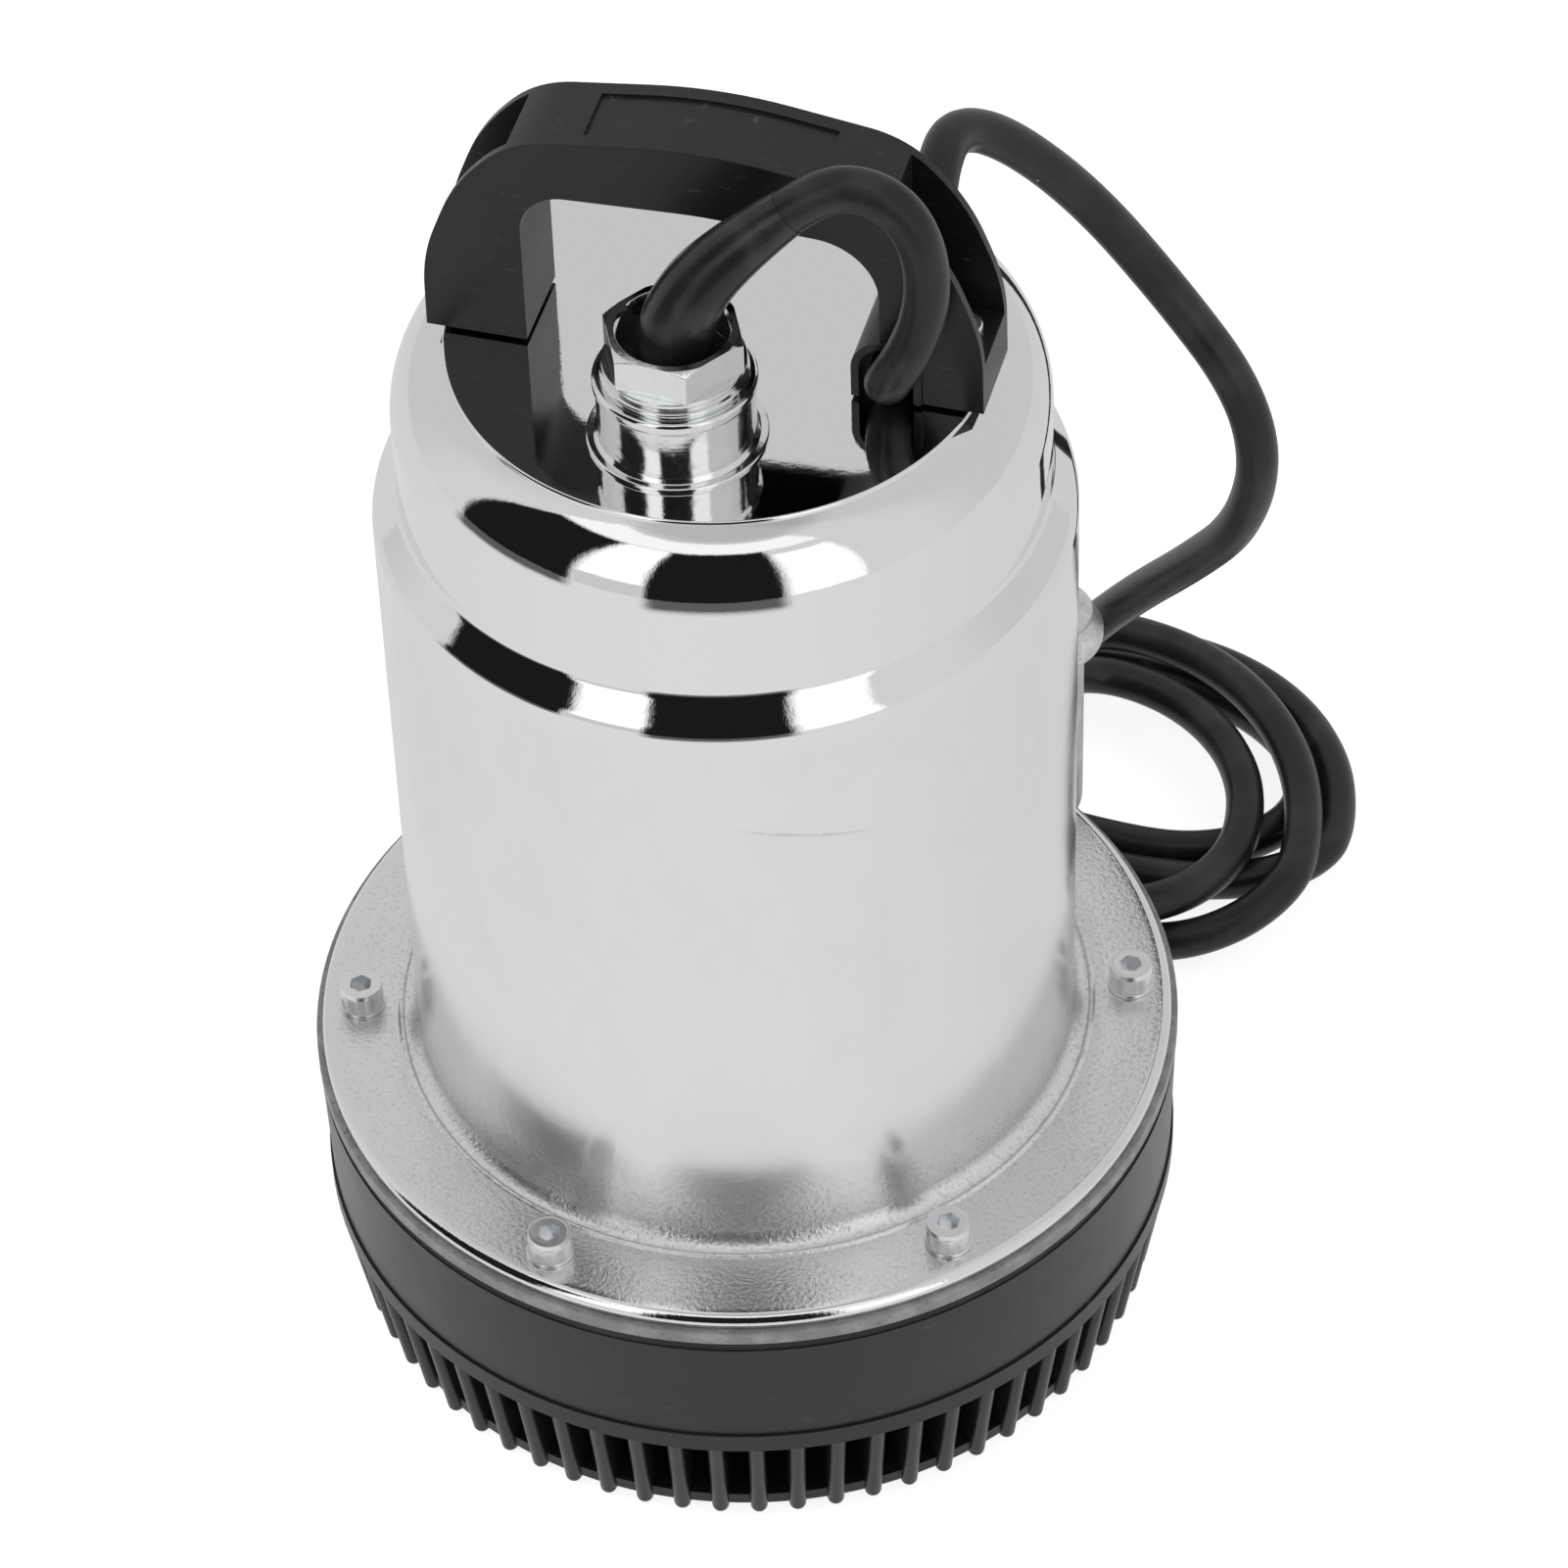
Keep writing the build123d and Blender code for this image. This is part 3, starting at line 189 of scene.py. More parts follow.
@dataclass(frozen=True)
class Finish:
    """What every finish shares: a name, a colour and how glossy it is."""

    name: str
    colour: Colour
    roughness: float
    metallic: float = 0.0
    gloss: float = 1.4

    def material(self) -> bpy.types.Material:
        """The finish as a material, which is made once."""
        title = f"finish_{self.name}"
        known = bpy.data.materials.get(title)
        if known:
            return known
        made = bpy.data.materials.new(title)
        made.use_nodes = True
        made.node_tree.nodes.clear()
        graph = Graph(made.node_tree)
        inputs = {
            "Base Color": (*self.colour, 1.0),
            "Roughness": self.roughness,
            "Metallic": self.metallic,
            "IOR": self.gloss,
            **self.details(graph),
        }
        shader = graph.node("ShaderNodeBsdfPrincipled", inputs=inputs)
        graph.node("ShaderNodeOutputMaterial", inputs={"Surface": shader})
        return made

    def details(self, graph: Graph) -> dict[str, object]:
        """The sockets that change over the surface.

        Args:
            graph: the material's node graph.

        Returns:
            Shader sockets by name.
        """
        raise NotImplementedError


@dataclass(frozen=True)
class DrawnSteel(Finish):
    """Polished drawn steel: mirror bright on top, grainy where it was stretched at its foot."""

    flare_top: float = 0.0
    flare_reach: float = 20 * MM
    polished_above: float = 0.0
    flange_inner: float = 69.5 * MM
    rub_centre: float = 30 * MM
    rub_height: float = 174.5 * MM

    def details(self, graph: Graph) -> dict[str, object]:
        """Stretch grain near the foot, faint draw lines, clouding and a few scuffs."""
        place = graph.place()
        x, y, z = graph.parts(place)
        radius = (x * x + y * y) ** 0.5
        foot = z.fade(self.flare_top + self.flare_reach, self.flare_top)
        flat = radius.fade(self.flange_inner, self.flange_inner + 4 * MM)
        lip = radius.fade(self.flange_inner + 12 * MM, self.flange_inner + 14 * MM) * foot
        polished = z.fade(self.polished_above - 3 * MM, self.polished_above + 3 * MM)
        cloud = graph.noise(place, 38, 4, 0.6)
        grain = graph.noise(place, 1150, 3, 0.6)
        fine = graph.noise(graph.stretched(place, (1, 1, 0.12)), 2600, 2)
        scuff_field = graph.noise(graph.stretched(place, (5, 5, 1)), 300, 4, 0.7)
        scuffs = scuff_field.fade(0.69, 0.76) * cloud.fade(0.5, 0.62) * (1 - polished)
        satin = (1 - polished) * (0.17 - flat * 0.05 - lip * 0.09)
        scratch = self.scratch(graph, x, y, z) * grain.fade(0.35, 0.5)
        patches = graph.noise(graph.stretched(place, (1, 1, 0.6)), 55, 5, 0.65)
        grainy = foot * (1 - flat * 0.35 - lip * 0.55)
        height = grain * (grainy * 1.3 + 0.035) + cloud * (1.1 - polished * 0.6) + fine * 0.03
        smudge = patches.fade(0.42, 0.7) * (1 - polished) * 0.06
        dull = grainy * grain.fade(0.5, 0.68) * 0.4 + scuffs * 0.4 + smudge + scratch * 0.45
        return {
            "Base Color": graph.mixed(dull, self.colour, (0.36, 0.35, 0.34)),
            "Roughness": satin + grainy * 0.11 + cloud * 0.02 + scuffs * 0.2 + self.roughness,
            "Normal": graph.bump(height, 0.12 * MM),
        }

    def scratch(self, graph: Graph, x: Value, y: Value, z: Value) -> Value:
        """One thin slanting rub across the front of the side.

        Args:
            graph: the material's node graph.
            x: the point's X.
            y: the point's Y.
            z: the point's Z.

        Returns:
            1 on the rub and 0 elsewhere.
        """
        along = x - self.rub_centre
        line = z - self.rub_height + along * 0.26
        thin = line.between(-0.25 * MM, 0.25 * MM, 0.35 * MM)
        return thin * along.between(-9 * MM, 9 * MM, 5 * MM) * y.fade(0, -1 * MM)


@dataclass(frozen=True)
class PlatedSteel(Finish):
    """Plated or turned steel with fine tool marks round an upright axis and slight tarnish."""

    mark_scale: float = 2200.0
    tarnish: Colour = (0.45, 0.42, 0.36)
    tarnish_amount: float = 0.25

    def details(self, graph: Graph) -> dict[str, object]:
        """Tool marks, a mottled plating and a little tarnish."""
        place = graph.place()
        marks = graph.noise(graph.stretched(place, (0.08, 0.08, 1)), self.mark_scale, 2)
        mottle = graph.noise(place, 420, 4, 0.65)
        stain = mottle.fade(0.52, 0.75) * self.tarnish_amount
        return {
            "Base Color": graph.mixed(stain, self.colour, self.tarnish),
            "Roughness": mottle * 0.16 + stain * 0.3 + (self.roughness - 0.08),
            "Normal": graph.bump(marks * 0.4 + mottle * 0.6, 0.04 * MM),
        }


@dataclass(frozen=True)
class Casting(Finish):
    """A rough cast metal surface with pits and lighter high spots."""

    pit_depth: float = 0.35 * MM

    def details(self, graph: Graph) -> dict[str, object]:
        """Sand grain, pits and patches of brighter metal."""
        place = graph.place()
        sand = graph.noise(place, 900, 5, 0.7)
        lumps = graph.noise(place, 190, 3)
        pits = sand.fade(0.42, 0.30)
        bright = lumps.fade(0.35, 0.75) * 0.6
        return {
            "Base Color": graph.mixed(bright, self.colour, tuple(min(1.0, c * 1.7) for c in self.colour)),
            "Roughness": sand * 0.25 + pits * 0.15 + (self.roughness - 0.12),
            "Normal": graph.bump(sand * 0.6 + lumps * 0.5 - pits * 0.4, self.pit_depth),
        }


@dataclass(frozen=True)
class MouldedPlastic(Finish):
    """Satin moulded plastic with a fine spark texture, sink marks and light scuffing."""

    scuff_colour: Colour = (0.07, 0.07, 0.072)
    texture_depth: float = 0.03 * MM

    def details(self, graph: Graph) -> dict[str, object]:
        """Texture grain, slow unevenness and pale scuffs."""
        place = graph.place()
        spark = graph.noise(place, 2300, 2)
        sink = graph.noise(place, 55, 2)
        rubbed = graph.noise(graph.stretched(place, (1, 1, 3)), 170, 5, 0.72)
        scuffs = rubbed.fade(0.6, 0.74)
        return {
            "Base Color": graph.mixed(scuffs * 0.5, self.colour, self.scuff_colour),
            "Roughness": spark * 0.08 + scuffs * 0.08 + sink * 0.08 + (self.roughness - 0.08),
            "Normal": graph.bump(spark + sink * 6.0, self.texture_depth),
        }


@dataclass(frozen=True)
class Rubber(Finish):
    """Dark rubber with lighter patches of dry bloom, fine grain and a few specks of lint; where the patch
    colour is light, the patches are also painted sheen.
    """

    # Colour of the lighter patches: a dry bloom, and on the boot also painted sheen standing in for
    # highlights.
    bloom_and_sheen: Colour = (0.05, 0.05, 0.052)
    speck_share: float = 0.05

    def details(self, graph: Graph) -> dict[str, object]:
        """Lighter patches of bloom and painted sheen, surface grain and lint specks."""
        place = graph.place()
        grain = graph.noise(place, 1700, 3, 0.6)
        patches = graph.noise(place, 75, 3)
        cell = {"Vector": place, "Scale": 210.0}
        near = graph.node("ShaderNodeTexVoronoi", inputs=cell)
        chosen = graph.noise(place, 160, 0)
        specks = near.fade(0.085, 0.045) * chosen.fade(0.72 - self.speck_share, 0.75)
        # Random lighter patches: real bloom and scuffs, and painted sheen where the patch colour is light.
        bloom_and_sheen_share = patches.fade(0.45, 0.75) * 0.4
        lint = graph.mixed(specks, self.colour, (0.5, 0.5, 0.5))
        inputs = {0: bloom_and_sheen_share, 6: lint, 7: (*self.bloom_and_sheen, 1.0)}
        return {
            "Base Color": graph.node("ShaderNodeMix", {"data_type": "RGBA"}, inputs, output=2),
            "Roughness": grain * 0.10 + patches * 0.10 + (self.roughness - 0.10),
            "Normal": graph.bump(grain + patches * 2.0, 0.03 * MM),
        }


@dataclass(frozen=True)
class WoundCopper(Finish):
    """Enamelled windings: close wires seen as fine ridges under a glossy varnish."""

    wire_pitch: float = 0.9 * MM

    def details(self, graph: Graph) -> dict[str, object]:
        """Ridges of wire and uneven varnish."""
        place = graph.place()
        settings = {"wave_type": "BANDS", "bands_direction": "DIAGONAL"}
        inputs = {"Vector": place, "Scale": 0.3 / self.wire_pitch, "Distortion": 1.5}
        wires = graph.node("ShaderNodeTexWave", settings, inputs)
        varnish = graph.noise(place, 240, 3)
        return {
            "Base Color": graph.mixed(varnish, self.colour, tuple(c * 0.55 for c in self.colour)),
            "Roughness": varnish * 0.2 + (self.roughness - 0.1),
            "Normal": graph.bump(wires, 0.2 * MM),
        }


# ------------------------------------------------------------------ modelling by operators


def only(*pieces: bpy.types.Object) -> None:
    """Select these objects and nothing else, and make the last one active."""
    bpy.ops.object.select_all(action="DESELECT")
    for piece in pieces:
        piece.select_set(True)
        bpy.context.view_layer.objects.active = piece


@contextmanager
def editing(piece: bpy.types.Object) -> Iterator[None]:
    """Edit mode on one piece, with everything in it selected at the start."""
    only(piece)
    bpy.ops.object.mode_set(mode="EDIT")
    bpy.ops.mesh.select_all(action="SELECT")
    yield
    bpy.ops.object.mode_set(mode="OBJECT")


def pick_faces(piece: bpy.types.Object, test: Callable[[bmesh.types.BMFace], bool]) -> None:
    """Select the faces that pass a test.

    Args:
        piece: the object in edit mode.
        test: takes a face and says whether it is wanted.
    """
    bpy.ops.mesh.select_all(action="DESELECT")
    bpy.ops.mesh.select_mode(type="FACE")
    mesh = bmesh.from_edit_mesh(piece.data)
    for face in mesh.faces:
        face.select = test(face)
    mesh.select_flush(True)
    bmesh.update_edit_mesh(piece.data)


def named(name: str) -> bpy.types.Object:
    """Give the active object a name, and its mesh the same."""
    piece = bpy.context.active_object
    piece.name = name
    piece.data.name = name
    return piece


def modified(piece: bpy.types.Object, kind: str, **settings: object) -> bpy.types.Object:
    """Put a modifier on a piece and apply it.

    Args:
        piece: the object to change.
        kind: the modifier's type.
        **settings: its settings.

    Returns:
        The same object.
    """
    only(piece)
    modifier = piece.modifiers.new(kind.title(), kind)
    for key, setting in settings.items():
        setattr(modifier, key, setting)
    bpy.ops.object.modifier_apply(modifier=modifier.name)
    return piece


def smoothed(piece: bpy.types.Object, degrees: float = 32) -> bpy.types.Object:
    """Shade a piece smooth, except over edges sharper than an angle, and keep its flats flat."""
    only(piece)
    bpy.ops.object.shade_smooth_by_angle(angle=math.radians(degrees))
    return modified(piece, "WEIGHTED_NORMAL", keep_sharp=True)


def cut(piece: bpy.types.Object, tool: bpy.types.Object, operation: str = "DIFFERENCE") -> bpy.types.Object:
    """Cut a piece with a tool body, and throw the tool away."""
    modified(piece, "BOOLEAN", object=tool, operation=operation, solver="EXACT")
    bpy.data.objects.remove(tool)
    return piece


def rounded(corners: Sequence[tuple[float, float, float]], step: float = 8.0) -> list[Vector]:
    """An outline whose corners are rounded by arcs.

    Args:
        corners: radius, height and corner radius of each corner, in order.
        step: the turn of one arc segment, in degrees.

    Returns:
        The outline's points, in the XZ plane.
    """
    spots = [Vector((radius, 0, height)) for radius, height, _ in corners]
    points = [spots[0]]
    for before, (corner, after), (_, _, fillet) in zip(spots, zip(spots[1:], spots[2:]), corners[1:]):
        if fillet == 0:
            points.append(corner)
            continue
        back = (before - corner).normalized()
        onward = (after - corner).normalized()
        half = back.angle(onward) / 2
        centre = corner + (back + onward).normalized() * (fillet / math.sin(half))
        arm = corner + back * (fillet / math.tan(half)) - centre
        turn = math.pi - 2 * half
        hinge = back.cross(onward).normalized() * -1
        count = max(2, round(math.degrees(turn) / step))
        for index in range(count + 1):
            points.append(centre + Matrix.Rotation(turn * index / count, 3, hinge) @ arm)
    points.append(spots[-1])
    return points


def turned(
    name: str, outline: Sequence[Vector], centre: tuple[float, float] = (0, 0), sides: int = 144
) -> bpy.types.Object:
    """Turn a closed outline about an upright axis.

    Args:
        name: the piece's name.
        outline: points in the XZ plane; the last one joins the first.
        centre: where the axis stands.
        sides: how many steps the full turn has.

    Returns:
        The new object.
    """
    shift = Vector((centre[0], centre[1], 0))
    only()
    bpy.ops.mesh.primitive_plane_add(size=MM, location=outline[0] + shift)
    piece = named(name)
    bpy.ops.object.transform_apply(location=True, rotation=True, scale=True)
    with editing(piece):
        bpy.ops.mesh.merge(type="CENTER")
        for here, there in zip(outline, outline[1:]):
            bpy.ops.mesh.extrude_region_move(TRANSFORM_OT_translate={"value": there - here})
        mesh = bmesh.from_edit_mesh(piece.data)
        for vertex in mesh.verts:
            vertex.select = len(vertex.link_edges) == 1
        mesh.select_flush(True)
        if outline[0].x > 0 or outline[-1].x > 0:
            bpy.ops.mesh.edge_face_add()
        bpy.ops.mesh.select_all(action="SELECT")
        bpy.ops.mesh.spin(steps=sides, angle=math.tau, center=shift, axis=(0, 0, 1))
        bpy.ops.mesh.select_all(action="SELECT")
        bpy.ops.mesh.remove_doubles(threshold=0.002 * MM)
        bpy.ops.mesh.normals_make_consistent(inside=False)
    return smoothed(piece)


def eased(name: str, node: str, width: float, segments: int = 2, angle: float = 40) -> bpy.types.Object:
    """A copy of a frame piece with its sharp edges eased.

    Args:
        name: the new piece's name.
        node: the frame node that is copied.
        width: the width of the eased edge.
        segments: how many facets round it.
        angle: edges sharper than this many degrees are eased.

    Returns:
        The new object.
    """
    piece = bpy.data.objects.new(name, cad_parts[node].data.copy())
    bpy.context.scene.collection.objects.link(piece)
    with editing(piece):
        bpy.ops.mesh.remove_doubles(threshold=0.002 * MM)
        bpy.ops.mesh.dissolve_limited(angle_limit=math.radians(0.6))
    modified(
        piece,
        "BEVEL",
        width=width,
        segments=segments,
        limit_method="ANGLE",
        angle_limit=math.radians(angle),
        use_clamp_overlap=True,
        miter_outer="MITER_ARC",
    )
    return smoothed(piece, 35)


def copies(piece: bpy.types.Object, moves: Sequence[Matrix]) -> list[bpy.types.Object]:
    """Copies of a finished piece, each with its own mesh.

    Args:
        piece: the model piece, which becomes the first copy.
        moves: where each copy goes, from the model's place.

    Returns:
        The copies.
    """
    made = []
    for index, move in enumerate(moves):
        only(piece)
        bpy.ops.object.duplicate()
        copy = named(f"{piece.name}_{index + 1}")
        copy.matrix_world = move
        bpy.ops.object.transform_apply(location=True, rotation=True, scale=True)
        made.append(copy)
    bpy.data.objects.remove(piece)
    return made


def joined(name: str, pieces: Sequence[bpy.types.Object]) -> bpy.types.Object:
    """Join pieces into one object, which keeps them as separate shells."""
    only(*pieces)
    bpy.ops.object.join()
    return named(name)


def settle(piece: bpy.types.Object, finish: Finish, slot: str, *nodes: str) -> bpy.types.Object:
    """Dress a static piece and hang it on the pump.

    Args:
        piece: the finished object.
        finish: what its surface is.
        slot: a material slot name; not used.
        *nodes: the frame nodes that it stands for.

    Returns:
        The same object.
    """
    piece.data.materials.clear()
    piece.data.materials.append(finish.material())
    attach(piece, STATIC_BODY)
    if nodes:
        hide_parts(*nodes)
    LOG.info("%s: %d faces", piece.name, len(getattr(piece.data, "polygons", [])))
    return piece


def dress(finish: Finish, *nodes: str) -> None:
    """Give frame nodes a finish and leave their shape as it is."""
    for node in nodes:
        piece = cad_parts[node]
        piece.data.materials.clear()
        piece.data.materials.append(finish.material())
        LOG.info("%s: dressed", node)


# ------------------------------------------------------------------ sizes read from the frame

SHELL_LOW, SHELL_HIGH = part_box("motor_shell")
CAP_TOP = SHELL_HIGH.z
FLANGE_BOTTOM = SHELL_LOW.z
FLANGE_RADIUS = SHELL_HIGH.x
FLANGE_TOP = FLANGE_BOTTOM + 2.6 * MM
GLAND_CENTRE = (0.0, -27 * MM)

POLISHED = DrawnSteel(
    "polished_steel", (0.80, 0.80, 0.81), 0.02, 1.0, 1.5, FLANGE_TOP + 3 * MM, 20 * MM, CAP_TOP - 42 * MM
)
GLAND_CHROME = PlatedSteel("gland_chrome", (0.76, 0.77, 0.77), 0.10, 1.0, 1.5, 1500.0)
ZINC = PlatedSteel("bright_zinc", (0.80, 0.81, 0.82), 0.3, 1.0, 1.5, 1800.0, (0.55, 0.55, 0.54), 0.15)
GROUND_STEEL = PlatedSteel("ground_steel", (0.62, 0.63, 0.65), 0.22, 1.0)
DARK_IRON = PlatedSteel("dark_iron", (0.14, 0.14, 0.15), 0.5, 0.9, 1.5, 1200.0, (0.2, 0.11, 0.07))
CAST_GREY = Casting("cast_grey", (0.26, 0.26, 0.265), 0.45, 0.85)
OUTLET_CAST = Casting("outlet_cast", (0.60, 0.60, 0.60), 0.42, 0.75, 1.5, 0.25 * MM)
DIE_CAST = Casting("die_cast", (0.5, 0.5, 0.52), 0.4, 0.9, 1.5, 0.1 * MM)
HANDLE_PLASTIC = MouldedPlastic("handle_plastic", (0.009, 0.009, 0.0095), 0.34)
HOUSING_PLASTIC = MouldedPlastic("housing_plastic", (0.014, 0.014, 0.015), 0.33)
IMPELLER_PLASTIC = MouldedPlastic("impeller_plastic", (0.05, 0.05, 0.052), 0.45)
CABLE_RUBBER = Rubber("cable_rubber", (0.009, 0.009, 0.0095), 0.34)
# The boot's light patch colour is painted sheen standing in for its highlights, as well as real scuffs and
# bloom.
BOOT_RUBBER = Rubber("boot_rubber", (0.012, 0.012, 0.0125), 0.24, bloom_and_sheen=(0.09, 0.09, 0.09))
GASKET_RUBBER = Rubber("gasket_rubber", (0.016, 0.016, 0.016), 0.7)
RED_RUBBER = Rubber("red_insulation", (0.42, 0.025, 0.02), 0.4, bloom_and_sheen=(0.5, 0.08, 0.06))
COPPER_WIRE = WoundCopper("wound_copper", (0.55, 0.21, 0.09), 0.35, 0.8, 1.5)
COPPER = PlatedSteel("bare_copper", (0.72, 0.34, 0.2), 0.3, 1.0, 1.5, 2000.0, (0.3, 0.14, 0.08))
BRASS = PlatedSteel("turned_brass", (0.72, 0.55, 0.25), 0.3, 1.0)
TIN = PlatedSteel("tinned_copper", (0.66, 0.65, 0.62), 0.32, 1.0)
CARBON = MouldedPlastic("brush_carbon", (0.03, 0.03, 0.03), 0.6, texture_depth=0.06 * MM)
BRUSH_BOARD = MouldedPlastic("brush_board", (0.22, 0.12, 0.05), 0.5, scuff_colour=(0.3, 0.2, 0.1))
CERAMIC = MouldedPlastic("seal_ceramic", (0.6, 0.58, 0.52), 0.25, scuff_colour=(0.4, 0.38, 0.34))


# ------------------------------------------------------------------ studio


@dataclass(frozen=True)
class Card:
    """A patch of the studio as bright metal sees it: limits in degrees, and its brightness."""

    left: float
    right: float
    low: float
    high: float
    light: float
    soft: float = 1.2


@dataclass
class Studio:
    """A white table in an even white room, with soft cards round the camera."""

    aim: Vector
    azimuth: float = 16.69
    elevation: float = 45.36
    roll: float = -1.994
    distance: float = 1.2551
    lens: float = 148.89
    table_half: float = 3.0
    cards: tuple[Card, ...] = (
        Card(-75, 62, 61, 74, 1.15),
        Card(-73, -33, -12, 60, 0.012),
        Card(-31, -10, 12, 60, 1.3),
        Card(-31, -10, -8, 12, 0.7),
        Card(-9, 34, -14, 60, 0.012),
        Card(36, 60, -3, 54, 1.25),
    )

    def camera(self) -> None:
        """The camera, by its aim, distance and angles."""
        turn, tilt = math.radians(self.azimuth), math.radians(self.elevation)
        away = Vector((math.sin(turn) * math.cos(tilt), -math.cos(turn) * math.cos(tilt), math.sin(tilt)))
        data = bpy.data.cameras.new("camera")
        data.lens = self.lens
        data.sensor_width = 36.0
        data.clip_start, data.clip_end = 0.05, 50.0
        camera = bpy.data.objects.new("camera", data)
        bpy.context.scene.collection.objects.link(camera)
        camera.rotation_mode = "QUATERNION"
        camera.location = self.aim + away * self.distance
        roll = Quaternion((0, 0, 1), math.radians(self.roll))
        camera.rotation_quaternion = (-away).to_track_quat("-Z", "Y") @ roll
        bpy.context.scene.camera = camera

    def table(self) -> None:
        """The white table, dark only at its far front edge where glossy metal sees it end."""
        only()
        bpy.ops.mesh.primitive_grid_add(x_subdivisions=12, y_subdivisions=12, size=2 * self.table_half)
        table = named("table")
        made = bpy.data.materials.new("white_table")
        made.use_nodes = True
        made.node_tree.nodes.clear()
        graph = Graph(made.node_tree)
        x, y, _ = graph.parts(graph.place())
        ahead = y * -1.0
        bearing = graph.maths("ARCTAN2", x, ahead) * math.degrees(1)
        reach = (x * x + y * y) ** 0.5
        gap = bearing.between(-8, 34, 3) * reach.fade(0.5, 0.9)
        side_gap = bearing.between(-73, -33, 3) * reach.fade(0.8, 1.3)
        front = graph.maths("DIVIDE", ahead, reach + 0.001)
        glossy = (1 - graph.maths("MAXIMUM", gap, side_gap) * 0.85) * (front * 0.07 + 0.79)
        rays = graph.node("ShaderNodeLightPath").socket.node
        seen = Value(graph, rays.outputs["Is Camera Ray"])
        mirrored = graph.maths("MAXIMUM", Value(graph, rays.outputs["Is Glossy Ray"]),
                               Value(graph, rays.outputs["Is Transmission Ray"]))
        lit = graph.node("ShaderNodeBsdfDiffuse", inputs={"Color": (0.9, 0.9, 0.9, 1)})
        faint = graph.node("ShaderNodeBsdfDiffuse", inputs={"Color": (0.25, 0.25, 0.25, 1)})
        lift = graph.node("ShaderNodeEmission", inputs={"Color": (1, 1, 1, 1), "Strength": 0.87})
        near = graph.node("ShaderNodeAddShader", inputs={0: faint, 1: lift})
        plain = graph.node("ShaderNodeMixShader", inputs={0: seen, 1: lit, 2: near})
        shown = graph.node("ShaderNodeEmission", inputs={"Color": (1, 1, 1, 1), "Strength": glossy})
        both = graph.node("ShaderNodeMixShader", inputs={0: mirrored, 1: plain, 2: shown})
        graph.node("ShaderNodeOutputMaterial", inputs={"Surface": both})
        table.data.materials.append(made)

    def room(self) -> None:
        """The room's light: even for plain surfaces, with soft cards for glossy ones."""
        world = bpy.data.worlds.new("room")
        bpy.context.scene.world = world
        world.use_nodes = True
        world.node_tree.nodes.clear()
        graph = Graph(world.node_tree)
        x, y, z = graph.parts(graph.place("Generated"))
        azimuth = graph.maths("ARCTAN2", x, y * -1.0) * math.degrees(1)
        height = graph.maths("ARCSINE", z) * math.degrees(1)
        behind = graph.maths("ABSOLUTE", azimuth).fade(84, 110)
        light = 0.77 - height.fade(72, 80) * 0.2 - behind * 0.09
        for card in self.cards:
            share = azimuth.between(card.left, card.right, card.soft)
            share = share * height.between(card.low, card.high, card.soft)
            light = light * (1 - share) + share * card.light
        rays = graph.node("ShaderNodeLightPath").socket.node
        seen = Value(graph, rays.outputs["Is Camera Ray"])
        mirrored = graph.maths("MAXIMUM", Value(graph, rays.outputs["Is Glossy Ray"]),
                               Value(graph, rays.outputs["Is Transmission Ray"]))
        plain = (1 - mirrored) * 0.8 + mirrored * light
        strength = plain * (1 - seen) + seen * 1.0
        ground = graph.node("ShaderNodeBackground", inputs={"Color": (1, 1, 1, 1), "Strength": strength})
        graph.node("ShaderNodeOutputWorld", inputs={"Surface": ground})

    def lamps(self) -> None:
        """Two large soft lamps that shape the dark plastics."""
        for name, place, power, size in (
            ("key_lamp", Vector((-0.9, -0.5, 1.3)), 7.0, 0.7),
            ("fill_lamp", Vector((1.1, 0.3, 1.1)), 4.0, 0.8),
        ):
            data = bpy.data.lights.new(name, "AREA")
            data.energy = power
            data.size = size
            lamp = bpy.data.objects.new(name, data)
            bpy.context.scene.collection.objects.link(lamp)
            lamp.location = place
            lamp.rotation_mode = "QUATERNION"
            lamp.rotation_quaternion = (self.aim - place).to_track_quat("-Z", "Y")
            lamp.visible_glossy = False

    def build(self) -> None:
        """Set up the camera, the table, the room and the lamps."""
        self.camera()
        self.table()
        self.room()
        self.lamps()
        bpy.context.scene.view_settings.view_transform = "Standard"


# ------------------------------------------------------------------ cable


class Lay(Enum):
    """How the cable passes a quarter point of its coil."""

    ALONG_Y = "sideways extreme"
    ALONG_X = "front or back extreme"


@dataclass(frozen=True)
class Quarter:
    """An extreme point of the coil, in millimetres: the cable passes it along X or Y."""

    lay: Lay
    x: float
    y: float
    z: float


